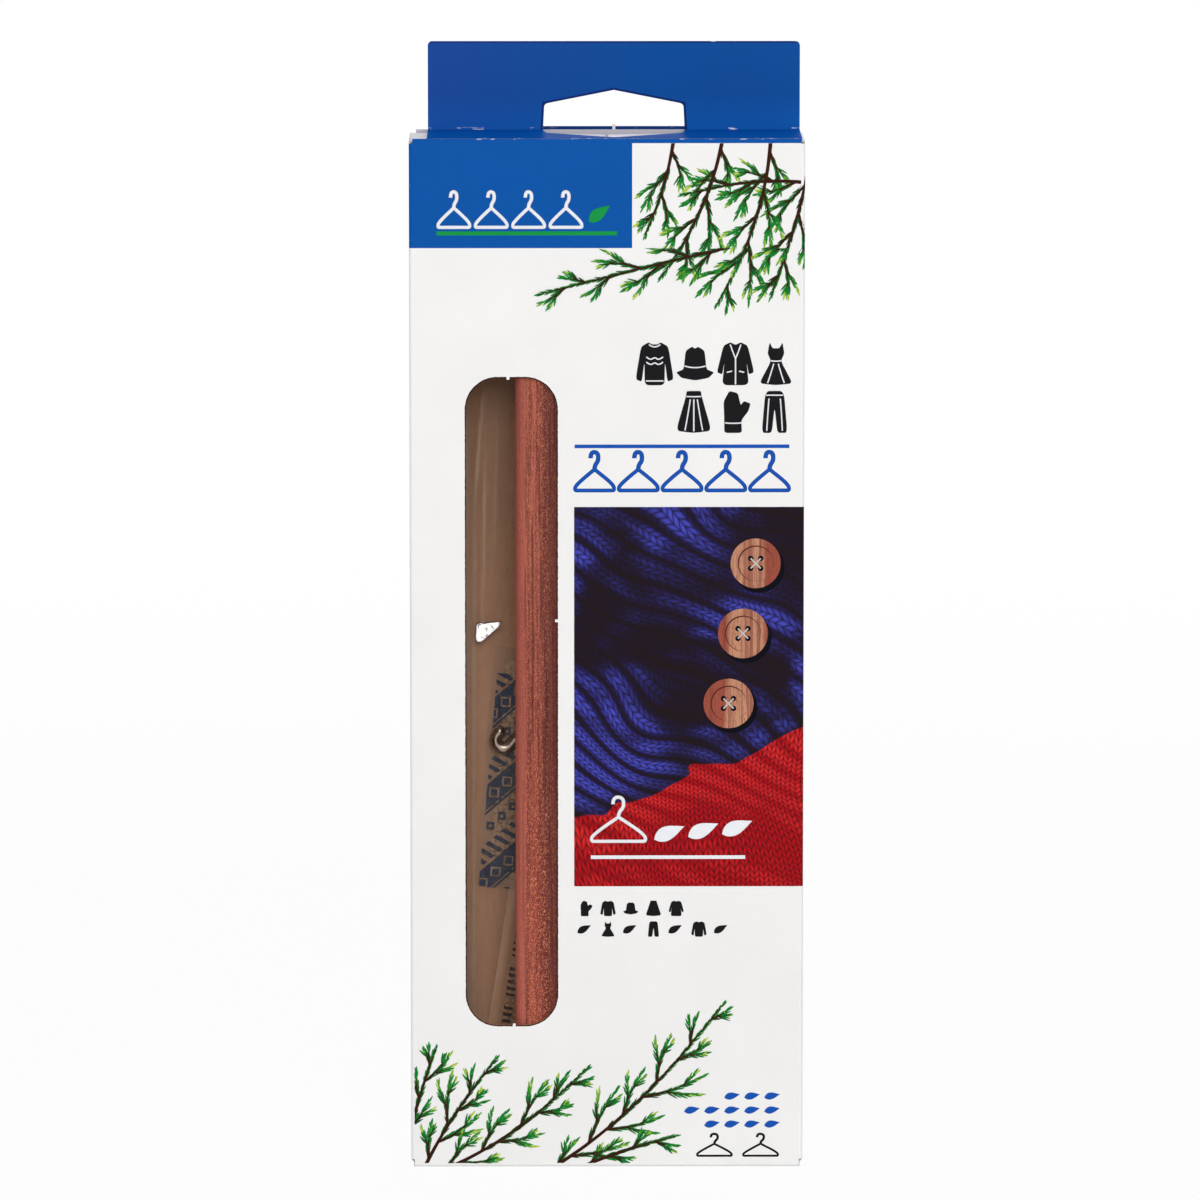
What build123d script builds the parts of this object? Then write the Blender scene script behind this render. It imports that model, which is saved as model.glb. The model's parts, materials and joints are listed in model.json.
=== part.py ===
# Cedar hanger block in its windowed hang-up carton, with its wire hook and two drying
# packets in a clear bag behind the block.
# Lengths are millimetres. X runs to the right, Y runs from the front panel to the back,
# Z runs up, and the origin is the middle of the carton's foot.
from build123d import *
from math import cos, radians, sin
import os

# Cedar block
block_length = 203.2
block_width = 63.5
block_thickness = 19.05
block_edge_radius = 3.0
block_end_chamfer = 0.4
pilot_hole_radius = 1.1
pilot_hole_depth = 16.0

# Wire hook, drawn upright on the block's end: sideways and upwards from the pilot hole
wire_diameter = 2.8
screw_length = 13.0
screw_point_length = 5.0
screw_point_radius = 0.3
kink_rise = 19.3
kink_side = 1.0
kink_radius = 6.0
run_length = 18.14
run_angle = 52.6
loop_radius = 32.4
loop_end_angle = 160.3
curl_radius = 1.9
curl_leg = 0.8
hook_lean = 20.0

# Clear bag round the hook and the packets
bag_film = 0.12
bag_ease = 0.13
bag_overlength = 7.0
bag_seal = 2.5
hook_right_ease = 5.8
curl_margin = 5.47

# Flat absorber packet, behind the hook
absorber_width = 40.0
absorber_height = 55.0
absorber_thickness = 0.7
absorber_rim = 2.0
absorber_lean = 5.0
absorber_foot = 60.2
absorber_inset = 2.0

# Desiccant sachet, beside the hook's shank
sachet_width = 22.0
sachet_height = 46.0
sachet_thickness = 2.4
sachet_rim = 2.0
sachet_lean = 8.7
sachet_foot = 18.0
sachet_inset = 3.6

# Both packets
packet_film = 0.08
packet_corner_radius = 1.0
packet_side_slope = 50.0
filling_ease = 0.05
layer_gap = 0.1

# Carton board and the room round what it holds
board = 0.5
crease_radius = 0.8
crease_gap = 0.03
front_ease = 0.3
back_ease = 0.3
side_ease = 0.5
bag_front_gap = 0.25
seat_gap = 0.05
left_room = 11.5
headroom = 27.25

# Window in the front panel, and the small nicks that its die leaves
window_margin = 12.6
window_foot = 32.4
window_width = 20.2
window_length = 146.2
window_radius = 7.0
nick_width = 0.64
nick_height = 0.36
top_nick_share = 0.464
foot_nick_share = 0.525
side_nick_share = 0.627

# Header with its hang hole
header_rise = 19.85
header_left_inset = 4.0
header_right_inset = 0.6
header_corner_radius = 1.0
hole_width = 32.0
hole_shoulder_width = 31.2
hole_shoulder_rise = 5.8
hole_apex_rise = 8.9
hole_corner_radius = 1.0
hole_strip = 0.72

# Lid, with the cut-out that carries the hang hole on over its crease
lid_hinge_gap = 0.05
lid_front_gap = 0.1
cutout_shoulder_width = 30.4
cutout_shoulder_depth = 8.0
cutout_apex_depth = 19.5

# Tuck flap
tuck_length = 11.0
tuck_lean = 22.0
tuck_inset = 1.0
tuck_corner_radius = 4.0

# Dust flaps under the lid
dust_gap = 0.1
dust_seam = 0.6
dust_front_inset = 3.0
dust_rear_inset = 1.8
dust_taper = 5.0
dust_corner_radius = 1.5

# Glue flap inside the left side panel
glue_flap_width = 11.0
glue_flap_bevel = 4.0
glue_reveal = 0.4

# Glued foot
foot_edge_gap = 0.6
foot_flap_gap = 4.0
foot_flap_inset = 1.5

# One length that carries every cut clear of what it cuts
overrun = 2.0

# Places on the hook
wire_radius = wire_diameter / 2
kink = Vector(-kink_side, kink_rise)
screw_tip = Vector(0, -screw_length)


def polar(length, angle):
    return Vector(length * cos(radians(angle)), length * sin(radians(angle)))


run_end = kink + polar(run_length, run_angle)
loop_centre = run_end + polar(loop_radius, run_angle + 90)
curl_centre = loop_centre + polar(loop_radius + curl_radius, loop_end_angle)


def leaned(place):
    # The place on the upright hook after the hook leans to the right in its bag
    lean = radians(hook_lean)
    return Vector(place.X * cos(lean) + place.Y * sin(lean), place.Y * cos(lean) - place.X * sin(lean))


hook_right_reach = leaned(loop_centre).X + loop_radius + wire_radius
hook_left_reach = leaned(curl_centre).X - curl_radius - wire_radius
hook_span = hook_right_reach - hook_left_reach

# Overall sizes of the carton, from what it holds
bag_width = hook_span + hook_right_ease + curl_margin + 2 * bag_film
bag_depth = wire_diameter + layer_gap + absorber_thickness + 2 * (bag_film + bag_ease)
bag_length = block_length + bag_overlength
carton_width = 2 * board + side_ease + bag_width + left_room
carton_depth = 2 * board + front_ease + block_thickness + bag_front_gap + bag_depth + back_ease
floor = 3 * board
carton_height = floor + seat_gap + block_length + headroom
header_top = carton_height + header_rise

# Faces of the carton
right = carton_width / 2
left = -right
back = carton_depth / 2
front = -back
inner_right = right - board
inner_left = left + board
inner_back = back - board
inner_front = front + board
header_left = left + header_left_inset
header_right = right - header_right_inset
header_middle = (header_left + header_right) / 2

# Fold lines of the lid and the flaps
lid_middle = carton_height - board / 2
lid_hinge = inner_back - board - lid_hinge_gap - board / 2
tuck_hinge = inner_front + lid_front_gap + board / 2
lid_front_end = tuck_hinge + (board + crease_gap) / cos(radians(tuck_lean))
dust_middle = carton_height - board - dust_gap - board / 2
dust_hinge = right - board / 2
side_top = dust_middle - board / 2 - crease_gap

# Places of what the carton holds
block_right = inner_right - side_ease
block_left = block_right - block_width
block_front = inner_front + front_ease
block_back = block_front + block_thickness
block_foot = floor + seat_gap
bag_right = block_right
bag_left = bag_right - bag_width
bag_front = block_back + bag_front_gap
bag_back = bag_front + bag_depth
bag_foot = floor + seat_gap
bag_top = bag_foot + bag_length
hook_layer = bag_front + bag_film + bag_ease + wire_radius
absorber_layer = hook_layer + wire_radius + layer_gap + absorber_thickness / 2


def slab(x_low, x_high, y_low, y_high, z_low, z_high):
    middle = Pos((x_low + x_high) / 2, (y_low + y_high) / 2, (z_low + z_high) / 2)
    return middle * Box(x_high - x_low, y_high - y_low, z_high - z_low)


def crease_section(across, along):
    # Quarter ring of bent board about the origin, in the quadrant that the two signs name
    ring = Circle(crease_radius) - Circle(crease_radius - board)
    quadrant_middle = Pos(across * crease_radius / 2, along * crease_radius / 2)
    return ring & quadrant_middle * Rectangle(crease_radius, crease_radius)


def upright_crease(side, end, z_low, z_high):
    # Corner of the carton: side is -1 at the left, end is -1 at the front
    corner = Pos(side * (right - crease_radius), end * (back - crease_radius), z_low)
    return extrude(corner * crease_section(side, end), amount=z_high - z_low)


def foot_crease_across(end, z_low):
    # Crease along X at the foot of the front panel or the back panel
    section = Pos(end * (back - crease_radius), z_low + crease_radius) * crease_section(end, -1)
    reach = right - crease_radius
    return extrude(Plane.YZ.offset(-reach) * section, amount=2 * reach)


def foot_crease_along(side, z_low):
    # Crease along Y at the foot of a side panel
    section = Pos(side * (right - crease_radius), z_low + crease_radius) * crease_section(side, -1)
    reach = back - foot_flap_inset
    return extrude(Plane.XZ.offset(-reach) * section, amount=2 * reach)


def through_y(section, y_low, y_high):
    # Prism of a section drawn in X and Z, between two depths
    return extrude(Plane.XZ.offset(-y_high) * section, amount=y_high - y_low)


def front_panel():
    reach = right - crease_radius
    panel = slab(-reach, reach, front, inner_front, crease_radius, carton_height)
    panel += foot_crease_across(-1, 0)
    window_left = left + window_margin
    window_right = window_left + window_width
    window_top = window_foot + window_length
    window_middle = Pos((window_left + window_right) / 2, (window_foot + window_top) / 2)
    window = window_middle * RectangleRounded(window_width, window_length, window_radius)
    panel -= through_y(window, front - overrun, inner_front + overrun)
    top_nick = window_left + top_nick_share * window_width
    foot_nick = window_left + foot_nick_share * window_width
    side_nick = window_foot + side_nick_share * window_length
    half = nick_width / 2
    top_low = window_top - nick_height
    foot_high = window_foot + nick_height
    side_low = window_right - nick_height
    panel += slab(top_nick - half, top_nick + half, front, inner_front, top_low, window_top + board)
    panel += slab(foot_nick - half, foot_nick + half, front, inner_front, window_foot - board, foot_high)
    panel += slab(side_low, window_right + board, front, inner_front, side_nick - half, side_nick + half)
    return panel


def back_panel():
    foot = board + crease_radius
    panel = slab(inner_left + crease_radius, right - crease_radius, inner_back, back, foot, carton_height)
    crease = foot_crease_across(1, board)
    # The crease stops where the glue flap's own corner starts
    kept = slab(inner_left + crease_radius, right, front, back, 0, foot)
    return panel + (crease & kept)


def side_foot():
    return 2 * board + crease_radius


def right_side_panel():
    reach = back - crease_radius
    panel = slab(inner_right, right, -reach, reach, side_foot(), side_top)
    for end in (-1, 1):
        panel += upright_crease(1, end, side_foot(), side_top)
    return panel + foot_crease_along(1, 2 * board)


def left_side_panel():
    # Its rear edge is the carton's free edge, glued over the glue flap
    rear = back - glue_reveal
    panel = slab(left, inner_left, front + crease_radius, rear, side_foot(), side_top)
    panel += upright_crease(-1, -1, side_foot(), side_top)
    return panel + foot_crease_along(-1, 2 * board)


def glue_flap():
    # Bent in from the back panel and bevelled at both ends
    corner_middle = Pos(inner_left + crease_radius, back - crease_radius, side_foot())
    corner = extrude(corner_middle * crease_section(-1, 1), amount=side_top - side_foot())
    rear = back - crease_radius
    flap_front = rear - glue_flap_width
    low = side_foot()
    outline = Polyline(
        (rear, low),
        (rear, side_top),
        (flap_front, side_top - glue_flap_bevel),
        (flap_front, low + glue_flap_bevel),
        close=True,
    )
    flap = extrude(Plane.YZ.offset(inner_left) * make_face(outline), amount=board)
    return corner + flap


def hang_hole(hole_foot):
    # Five-cornered hole in X and Z, from the given foot up
    shoulder = carton_height + hole_shoulder_rise
    outline = Polyline(
        (header_middle - hole_width / 2, hole_foot),
        (header_middle - hole_shoulder_width / 2, shoulder),
        (header_middle, carton_height + hole_apex_rise),
        (header_middle + hole_shoulder_width / 2, shoulder),
        (header_middle + hole_width / 2, hole_foot),
        close=True,
    )
    hole = make_face(outline)
    shoulders = [corner for corner in hole.vertices() if abs(corner.Y - shoulder) < crease_gap]
    return fillet(shoulders, hole_corner_radius)


def header_ply(end, ply_foot):
    # end is -1 for the front ply and 1 for the back ply: they meet in the fold on top
    fold_height = header_top - board
    body = Pos(inner_back + end * board / 2, (ply_foot + fold_height) / 2)
    profile = body * Rectangle(board, fold_height - ply_foot)
    quadrant = Pos(end * board / 2, board / 2) * Rectangle(board, board)
    profile += Pos(inner_back, fold_height) * (Circle(board) & quadrant)
    width = header_right - header_left
    ply = extrude(Plane.YZ.offset(header_left) * profile, amount=width)
    outline = Pos(header_middle, (ply_foot + header_top) / 2) * Rectangle(width, header_top - ply_foot)
    outline = fillet(outline.vertices().group_by(Axis.Y)[-1], header_corner_radius)
    return ply & through_y(outline, inner_back - board, back)


def header_front_ply():
    ply_foot = carton_height - board
    return header_ply(-1, ply_foot) - through_y(hang_hole(ply_foot - overrun), front, back + overrun)


def header_back_ply():
    # A strip of this ply, with a nick on it, closes the foot of the hole
    strip_top = carton_height + hole_strip
    ply = header_ply(1, carton_height)
    ply -= through_y(hang_hole(strip_top), front, back + overrun)
    half = nick_width / 2
    nick_top = strip_top + nick_height
    return ply + slab(header_middle - half, header_middle + half, inner_back, back, carton_height, nick_top)


def lid_panel():
    # Rounded at the hinge and at the tuck crease, and cut out under the hang hole
    length = lid_hinge - lid_front_end - board / 2
    profile = Pos((lid_hinge + lid_front_end + board / 2) / 2, lid_middle) * Rectangle(length, board)
    profile += Pos(lid_hinge, lid_middle) * Circle(board / 2)
    profile += Pos(lid_front_end + board / 2, lid_middle) * Circle(board / 2)
    lid = extrude(Plane.YZ.offset(header_left) * profile, amount=header_right - header_left)
    shoulder = lid_hinge - cutout_shoulder_depth
    outline = Polyline(
        (header_middle - hole_width / 2, lid_hinge + board),
        (header_middle - hole_width / 2, lid_hinge - board),
        (header_middle - cutout_shoulder_width / 2, shoulder),
        (header_middle, lid_hinge - cutout_apex_depth),
        (header_middle + cutout_shoulder_width / 2, shoulder),
        (header_middle + hole_width / 2, lid_hinge - board),
        (header_middle + hole_width / 2, lid_hinge + board),
        close=True,
    )
    cutout = make_face(outline)
    shoulders = [corner for corner in cutout.vertices() if abs(corner.Y - shoulder) < crease_gap]
    cutout = fillet(shoulders, hole_corner_radius)
    return lid - extrude(Pos(0, 0, carton_height - board - overrun) * cutout, amount=board + 2 * overrun)


def tuck_flap():
    # Drawn hanging from its crease, then leaned in behind the front panel
    tuck_left = header_left + tuck_inset
    tuck_right = header_right - tuck_inset
    outline = Pos((tuck_left + tuck_right) / 2, -tuck_length / 2) * Rectangle(tuck_right - tuck_left, tuck_length)
    outline = fillet(outline.vertices().group_by(Axis.Y)[0], tuck_corner_radius)
    flap = through_y(outline, -board / 2, board / 2)
    crease = extrude(Plane.YZ.offset(tuck_left) * Circle(board / 2), amount=tuck_right - tuck_left)
    return Pos(0, tuck_hinge, lid_middle) * Rot(X=tuck_lean) * (flap + crease)


def dust_flap(side):
    # side is -1 for the left flap: it lies from its crease to the middle of the carton
    free_end = dust_seam / 2
    length = dust_hinge - free_end
    flap_front = front + dust_front_inset
    flap_rear = inner_back - dust_rear_inset
    free_rear = flap_rear - length * sin(radians(dust_taper))
    outline = Polyline(
        (dust_hinge, flap_front),
        (free_end, flap_front),
        (free_end, free_rear),
        (dust_hinge, flap_rear),
        close=True,
    )
    plan = make_face(outline)
    free_corners = plan.vertices().group_by(Axis.X)[0]
    plan = fillet(free_corners, dust_corner_radius)
    flap = extrude(Pos(0, 0, dust_middle - board / 2) * plan, amount=board)
    crease_middle = Pos(dust_hinge, dust_middle)
    flap += through_y(crease_middle * Circle(board / 2), flap_front, flap_rear)
    return flap if side > 0 else mirror(flap, Plane.YZ)


def bottom_outer_flap():
    reach = right - foot_edge_gap
    return slab(-reach, reach, front + crease_radius, back - foot_edge_gap, 0, board)


def bottom_inner_flap():
    reach = right - foot_edge_gap
    return slab(-reach, reach, front + crease_radius + crease_gap, back - crease_radius, board, 2 * board)


def bottom_dust_flap(side):
    outer = side * (right - crease_radius)
    free_end = side * foot_flap_gap / 2
    reach = back - foot_flap_inset
    return slab(min(outer, free_end), max(outer, free_end), -reach, reach, 2 * board, floor)


def cedar_block():
    block = slab(block_left, block_right, block_front, block_back, block_foot, block_foot + block_length)
    block = fillet(block.edges().filter_by(Axis.Z), block_edge_radius)
    ends = block.faces().filter_by(Axis.Z)
    block = chamfer(ends.edges(), block_end_chamfer)
    hole_middle = Pos((block_left + block_right) / 2, (block_front + block_back) / 2)
    hole_low = block_foot + block_length - pilot_hole_depth
    hole = Pos(0, 0, hole_low) * extrude(Circle(pilot_hole_radius), amount=pilot_hole_depth + overrun)
    return block - hole_middle * hole


def wire_hook():
    loop_start_angle = run_angle - 90
    loop_sweep = loop_end_angle - loop_start_angle
    shank_direction = (kink - screw_tip).normalized()
    wire_start = screw_tip + shank_direction * screw_point_length
    shank = FilletPolyline(wire_start, kink, run_end, radius=kink_radius)
    loop = CenterArc(loop_centre, loop_radius, loop_start_angle, loop_sweep)
    curl = CenterArc(curl_centre, curl_radius, loop_end_angle - 180, -180)
    leg_start = curl_centre + polar(curl_radius, loop_end_angle)
    leg_end = leg_start + polar(curl_leg, loop_end_angle - 90)
    path = Wire([*shank.edges(), loop, curl, Line(leg_start, leg_end)])
    section = Plane(origin=wire_start, z_dir=shank_direction) * Circle(wire_radius)
    wire = sweep(section, path=path)
    share = wire.volume / (section.area * path.length)
    print("hook wire length", round(path.length, 1), "volume over section times length", round(share, 4))
    point_foot = Plane(origin=screw_tip, z_dir=shank_direction) * Circle(screw_point_radius)
    wire += loft([point_foot, section])
    wire += Pos(leg_end) * Sphere(wire_radius)
    upright = Plane.XZ * wire
    middle_x = bag_right - bag_film - hook_right_ease - hook_right_reach
    tip = leaned(screw_tip)
    middle_z = bag_foot + bag_seal + bag_film + bag_ease - tip.Y
    return Pos(middle_x, hook_layer, middle_z) * Rot(Y=hook_lean) * upright


def bag_box(inset, z_low, z_high):
    middle = Pos((bag_left + bag_right) / 2, (bag_front + bag_back) / 2, z_low)
    width = bag_width - 2 * inset
    depth = bag_depth - 2 * inset
    plan = RectangleRounded(width, depth, depth / 2 - bag_film / 2)
    return extrude(middle * plan, amount=z_high - z_low)


def clear_bag():
    # A closed sleeve of film with a flat seal at each end
    low = bag_foot + bag_seal
    high = bag_top - bag_seal
    bag = bag_box(0, low, high) - bag_box(bag_film, low + bag_film, high - bag_film)
    middle = (bag_front + bag_back) / 2
    bag += slab(bag_left, bag_right, middle - bag_film, middle + bag_film, bag_foot, low)
    bag += slab(bag_left, bag_right, middle - bag_film, middle + bag_film, high, bag_top)
    return bag


def pillow(width, height, thickness):
    # A low cushion with sloped sides about the origin, in X and Y
    half = extrude(RectangleRounded(width, height, packet_corner_radius), thickness / 2, taper=packet_side_slope)
    return half + mirror(half, Plane.XY)


def packet_parts(width, height, thickness, rim):
    # Sealed envelope and its filling, about the origin
    full_width = width - 2 * rim
    full_height = height - 2 * rim
    sealed = extrude(RectangleRounded(width, height, packet_corner_radius), packet_film, both=True)
    film = 2 * packet_film
    hollow = pillow(full_width - film, full_height - film, thickness - film)
    envelope = pillow(full_width, full_height, thickness) + sealed - hollow
    inset = film + 2 * filling_ease
    filling = pillow(full_width - inset, full_height - inset, thickness - inset)
    return envelope, filling


def placed_packet(solid, width, height, corner_x, corner_z, layer, lean):
    # Set upright behind the window by its lower left corner, leaned to the right
    angle = radians(lean)
    middle_x = corner_x + width / 2 * cos(angle) + height / 2 * sin(angle)
    middle_z = corner_z + height / 2 * cos(angle) - width / 2 * sin(angle)
    return Pos(middle_x, layer, middle_z) * Rot(Y=lean) * (Plane.XZ * solid)


def absorber_packet():
    parts = packet_parts(absorber_width, absorber_height, absorber_thickness, absorber_rim)
    place = (bag_left + absorber_inset, absorber_foot, absorber_layer, absorber_lean)
    return [placed_packet(part, absorber_width, absorber_height, *place) for part in parts]


def desiccant_sachet():
    parts = packet_parts(sachet_width, sachet_height, sachet_thickness, sachet_rim)
    place = (bag_left + sachet_inset, sachet_foot, hook_layer, sachet_lean)
    return [placed_packet(part, sachet_width, sachet_height, *place) for part in parts]


absorber_envelope, absorber_filling = absorber_packet()
sachet_envelope, sachet_granules = desiccant_sachet()

nodes = {
    "front_panel": front_panel(),
    "back_panel": back_panel(),
    "left_side_panel": left_side_panel(),
    "right_side_panel": right_side_panel(),
    "glue_flap": glue_flap(),
    "header_front_ply": header_front_ply(),
    "header_back_ply": header_back_ply(),
    "bottom_outer_flap": bottom_outer_flap(),
    "bottom_inner_flap": bottom_inner_flap(),
    "bottom_dust_flap_left": bottom_dust_flap(-1),
    "bottom_dust_flap_right": bottom_dust_flap(1),
    "lid_panel": lid_panel(),
    "tuck_flap": tuck_flap(),
    "dust_flap_left": dust_flap(-1),
    "dust_flap_right": dust_flap(1),
    "cedar_block": cedar_block(),
    "clear_bag": clear_bag(),
    "wire_hook": wire_hook(),
    "absorber_envelope": absorber_envelope,
    "absorber_filling": absorber_filling,
    "sachet_envelope": sachet_envelope,
    "sachet_granules": sachet_granules,
}

os.makedirs("parts", exist_ok=True)
for name, solid in nodes.items():
    export_step(solid, "parts/" + name + ".step")

print("carton", round(carton_width, 3), round(carton_depth, 3), round(carton_height, 3), "top", header_top)
print("lid hinge y z", round(lid_hinge, 4), round(lid_middle, 4), "tuck hinge y", round(tuck_hinge, 4))
print("dust hinge x z", round(dust_hinge, 4), round(dust_middle, 4), "side top", round(side_top, 4))
print("block", [round(v, 3) for v in (block_left, block_right, block_front, block_back, block_foot)])
print("bag", [round(v, 3) for v in (bag_left, bag_right, bag_front, bag_back, bag_foot, bag_top)])
print("header", [round(v, 3) for v in (header_left, header_right, header_middle)])
print("hook span", round(hook_span, 3))
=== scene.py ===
# Looks of the cedar hanger block in its hang-up carton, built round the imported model
import json
import math
import random

import bpy
from mathutils import Matrix, Vector, noise


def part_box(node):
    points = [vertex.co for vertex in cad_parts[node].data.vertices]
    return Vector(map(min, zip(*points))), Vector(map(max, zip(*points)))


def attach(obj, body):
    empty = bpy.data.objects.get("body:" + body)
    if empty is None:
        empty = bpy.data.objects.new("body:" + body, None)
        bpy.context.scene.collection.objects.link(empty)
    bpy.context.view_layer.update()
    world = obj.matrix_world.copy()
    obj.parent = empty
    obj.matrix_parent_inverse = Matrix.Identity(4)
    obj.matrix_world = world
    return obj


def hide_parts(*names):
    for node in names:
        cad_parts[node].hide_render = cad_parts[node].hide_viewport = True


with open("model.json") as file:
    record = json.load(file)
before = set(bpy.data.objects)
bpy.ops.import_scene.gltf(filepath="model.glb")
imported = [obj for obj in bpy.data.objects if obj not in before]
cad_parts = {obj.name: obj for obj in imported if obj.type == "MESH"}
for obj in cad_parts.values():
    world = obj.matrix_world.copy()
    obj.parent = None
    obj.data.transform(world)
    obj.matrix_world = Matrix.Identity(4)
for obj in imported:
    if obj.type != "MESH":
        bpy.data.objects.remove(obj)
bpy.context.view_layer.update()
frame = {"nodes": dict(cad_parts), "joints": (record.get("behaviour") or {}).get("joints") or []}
nodes = frame["nodes"]
mm = 0.001  # lengths are in metres; the ones in millimetres are multiplied by this


def boxOf(name):  # two corners of a node's box, in millimetres
    return [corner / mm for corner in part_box(name)]


# The carton as the frame gives it
cartonHalfWidth, cartonHalfDepth = boxOf("right_side_panel")[1][:2]
headerLow, headerHigh = boxOf("header_back_ply")
cartonTop = headerLow.z
print("frame loaded, carton", round(2 * cartonHalfWidth, 2), "by", round(2 * cartonHalfDepth, 2))


# Small helpers for making, selecting and finishing pieces

def pick(*pieces):
    bpy.ops.object.select_all(action="DESELECT")
    for piece in pieces:
        piece.select_set(True)
    bpy.context.view_layer.objects.active = pieces[-1]


def settle(piece):  # puts a piece's place, turn and size into its mesh
    pick(piece)
    bpy.ops.object.transform_apply(location=True, rotation=True, scale=True)


def newPiece(name, data):
    piece = bpy.data.objects.new(name, data)
    bpy.context.scene.collection.objects.link(piece)
    return piece


def newCurve(name, kind, runs, closed=False, **settings):
    # A run is a list of points: X, Y and Z in millimetres and the share of the line's width
    curve = bpy.data.curves.new(name, "CURVE")
    for key, value in settings.items():
        setattr(curve, key, value)
    for run in runs:
        spline = curve.splines.new(kind)
        spline.points.add(len(run) - 1)
        for point, (x, y, z, width) in zip(spline.points, run):
            point.co = (x * mm, y * mm, z * mm, 1)
            point.radius = width
        spline.use_cyclic_u = closed
        if kind == "NURBS":
            spline.order_u = 3
            spline.use_endpoint_u = True
    return newPiece(name, curve)


def uprightSheet(columns, rows, width, height, place=(0, 0, 0), behind=False):
    bpy.ops.mesh.primitive_grid_add(x_subdivisions=columns, y_subdivisions=rows, size=1)
    sheet = bpy.context.active_object
    sheet.scale = (width * mm, height * mm, 1)
    sheet.rotation_euler = (math.radians(90), 0, math.radians(180) if behind else 0)
    sheet.location = [part * mm for part in place]
    settle(sheet)
    return sheet


def withTone(mesh, name, values):  # writes a number for each vertex, which a material reads
    tones = mesh.attributes.new(name, "FLOAT", "POINT")
    for tone, value in zip(tones.data, values):
        tone.value = value


def openMesh(piece):  # edit mode with the whole mesh selected
    pick(piece)
    bpy.ops.object.mode_set(mode="EDIT")
    bpy.ops.mesh.select_all(action="SELECT")


def closeMesh():
    bpy.ops.object.mode_set(mode="OBJECT")


def asMesh(piece):
    pick(piece)
    bpy.ops.object.convert(target="MESH")
    return bpy.context.view_layer.objects.active


def joined(name, pieces):
    pick(*pieces)
    bpy.ops.object.join()
    piece = bpy.context.view_layer.objects.active
    piece.name = name
    return piece


def withModifier(piece, kind, **settings):
    pick(piece)
    modifier = piece.modifiers.new(kind.title(), kind)
    for key, value in settings.items():
        setattr(modifier, key, value)
    bpy.ops.object.modifier_apply(modifier=modifier.name)


def dress(piece, material, body):
    piece.data.materials.clear()
    piece.data.materials.append(material)
    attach(piece, body)


def dressNode(name, material):
    node = nodes[name]
    for slot in node.material_slots:
        slot.material = material


# Small helpers for node trees; each puts its node in the tree of the values that it is given

def feed(socket, value):
    if isinstance(value, bpy.types.NodeSocket):
        socket.id_data.links.new(value, socket)
    else:
        socket.default_value = value


def put(tree, kind, **settings):
    node = tree.nodes.new(kind)
    for key, value in settings.items():
        setattr(node, key, value)
    return node


def putBeside(values, kind, **settings):
    socket = next(value for value in values if isinstance(value, bpy.types.NodeSocket))
    return put(socket.id_data, kind, **settings)


def sumNode(operation):  # of more than two values, the next is taken with what the first ones made
    def made(first, *others):
        for other in others or (0.0,):
            node = putBeside((first, other), "ShaderNodeMath", operation=operation)
            feed(node.inputs[0], first)
            feed(node.inputs[1], other)
            first = node.outputs[0]
        return first
    return made


plus, minus, times, divided = [sumNode(kind) for kind in ("ADD", "SUBTRACT", "MULTIPLY", "DIVIDE")]
larger, smaller = [sumNode(kind) for kind in ("MAXIMUM", "MINIMUM")]
above, below = [sumNode(kind) for kind in ("GREATER_THAN", "LESS_THAN")]
absolute, raised, sine = [sumNode(kind) for kind in ("ABSOLUTE", "POWER", "SINE")]
fraction, squareRoot = [sumNode(kind) for kind in ("FRACT", "SQRT")]


def between(value, low, high):
    return times(above(value, low), below(value, high))


def roundedReach(overs):  # distance past a rounded corner, from how far each axis is past it
    return squareRoot(plus(*[raised(larger(over, 0.0), 2.0) for over in overs]))


def vectorNode(vector, operation, second):
    node = putBeside((vector,), "ShaderNodeVectorMath", operation=operation)
    feed(node.inputs[0], vector)
    feed(node.inputs[1], second)
    return node.outputs


def stretched(vector, scale):
    return vectorNode(vector, "MULTIPLY", scale)[0]


def along(vector, direction):  # how far a place lies along a direction
    return vectorNode(vector, "DOT_PRODUCT", direction)["Value"]


def parts(vector):
    node = putBeside((vector,), "ShaderNodeSeparateXYZ")
    feed(node.inputs[0], vector)
    return node.outputs


def fitted(value, low, high, start=0.0, end=1.0, soft=True):
    node = putBeside((value,), "ShaderNodeMapRange", interpolation_type="SMOOTHSTEP" if soft else "LINEAR")
    for socket, part in zip(node.inputs, (value, low, high, start, end)):
        feed(socket, part)
    return node.outputs[0]


def mixed(share, first, second, mode="MIX"):
    node = putBeside((share, first, second), "ShaderNodeMix", data_type="RGBA", blend_type=mode)
    for socket, value in zip((node.inputs[0], node.inputs[6], node.inputs[7]), (share, first, second)):
        feed(socket, value)
    return node.outputs[2]


def cloudy(vector, scale, detail=2.0, distortion=0.0, output="Fac", squash=None):
    # Noise; a squash below 1 draws it out along Z
    if squash is not None:
        vector = stretched(vector, (1.0, 1.0, squash))
    node = putBeside((vector,), "ShaderNodeTexNoise")
    paint(node, Vector=vector, Scale=scale, Detail=detail, Distortion=distortion)
    return node.outputs[output]


def bumped(height, strength, distance):
    node = putBeside((height,), "ShaderNodeBump")
    paint(node, Height=height, Strength=strength, Distance=distance)
    return node.outputs["Normal"]


def attribute(tree, name):
    return put(tree, "ShaderNodeAttribute", attribute_name=name).outputs["Fac"]


def placeOn(tree, kind="Object"):
    return put(tree, "ShaderNodeTexCoord").outputs[kind]


def blended(tree, share, first, second):  # mixes two shaders into what the material shows
    both = put(tree, "ShaderNodeMixShader")
    for socket, value in zip(both.inputs, (share, first.outputs[0], second.outputs[0])):
        feed(socket, value)
    feed(tree.nodes["Material Output"].inputs[0], both.outputs[0])


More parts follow.
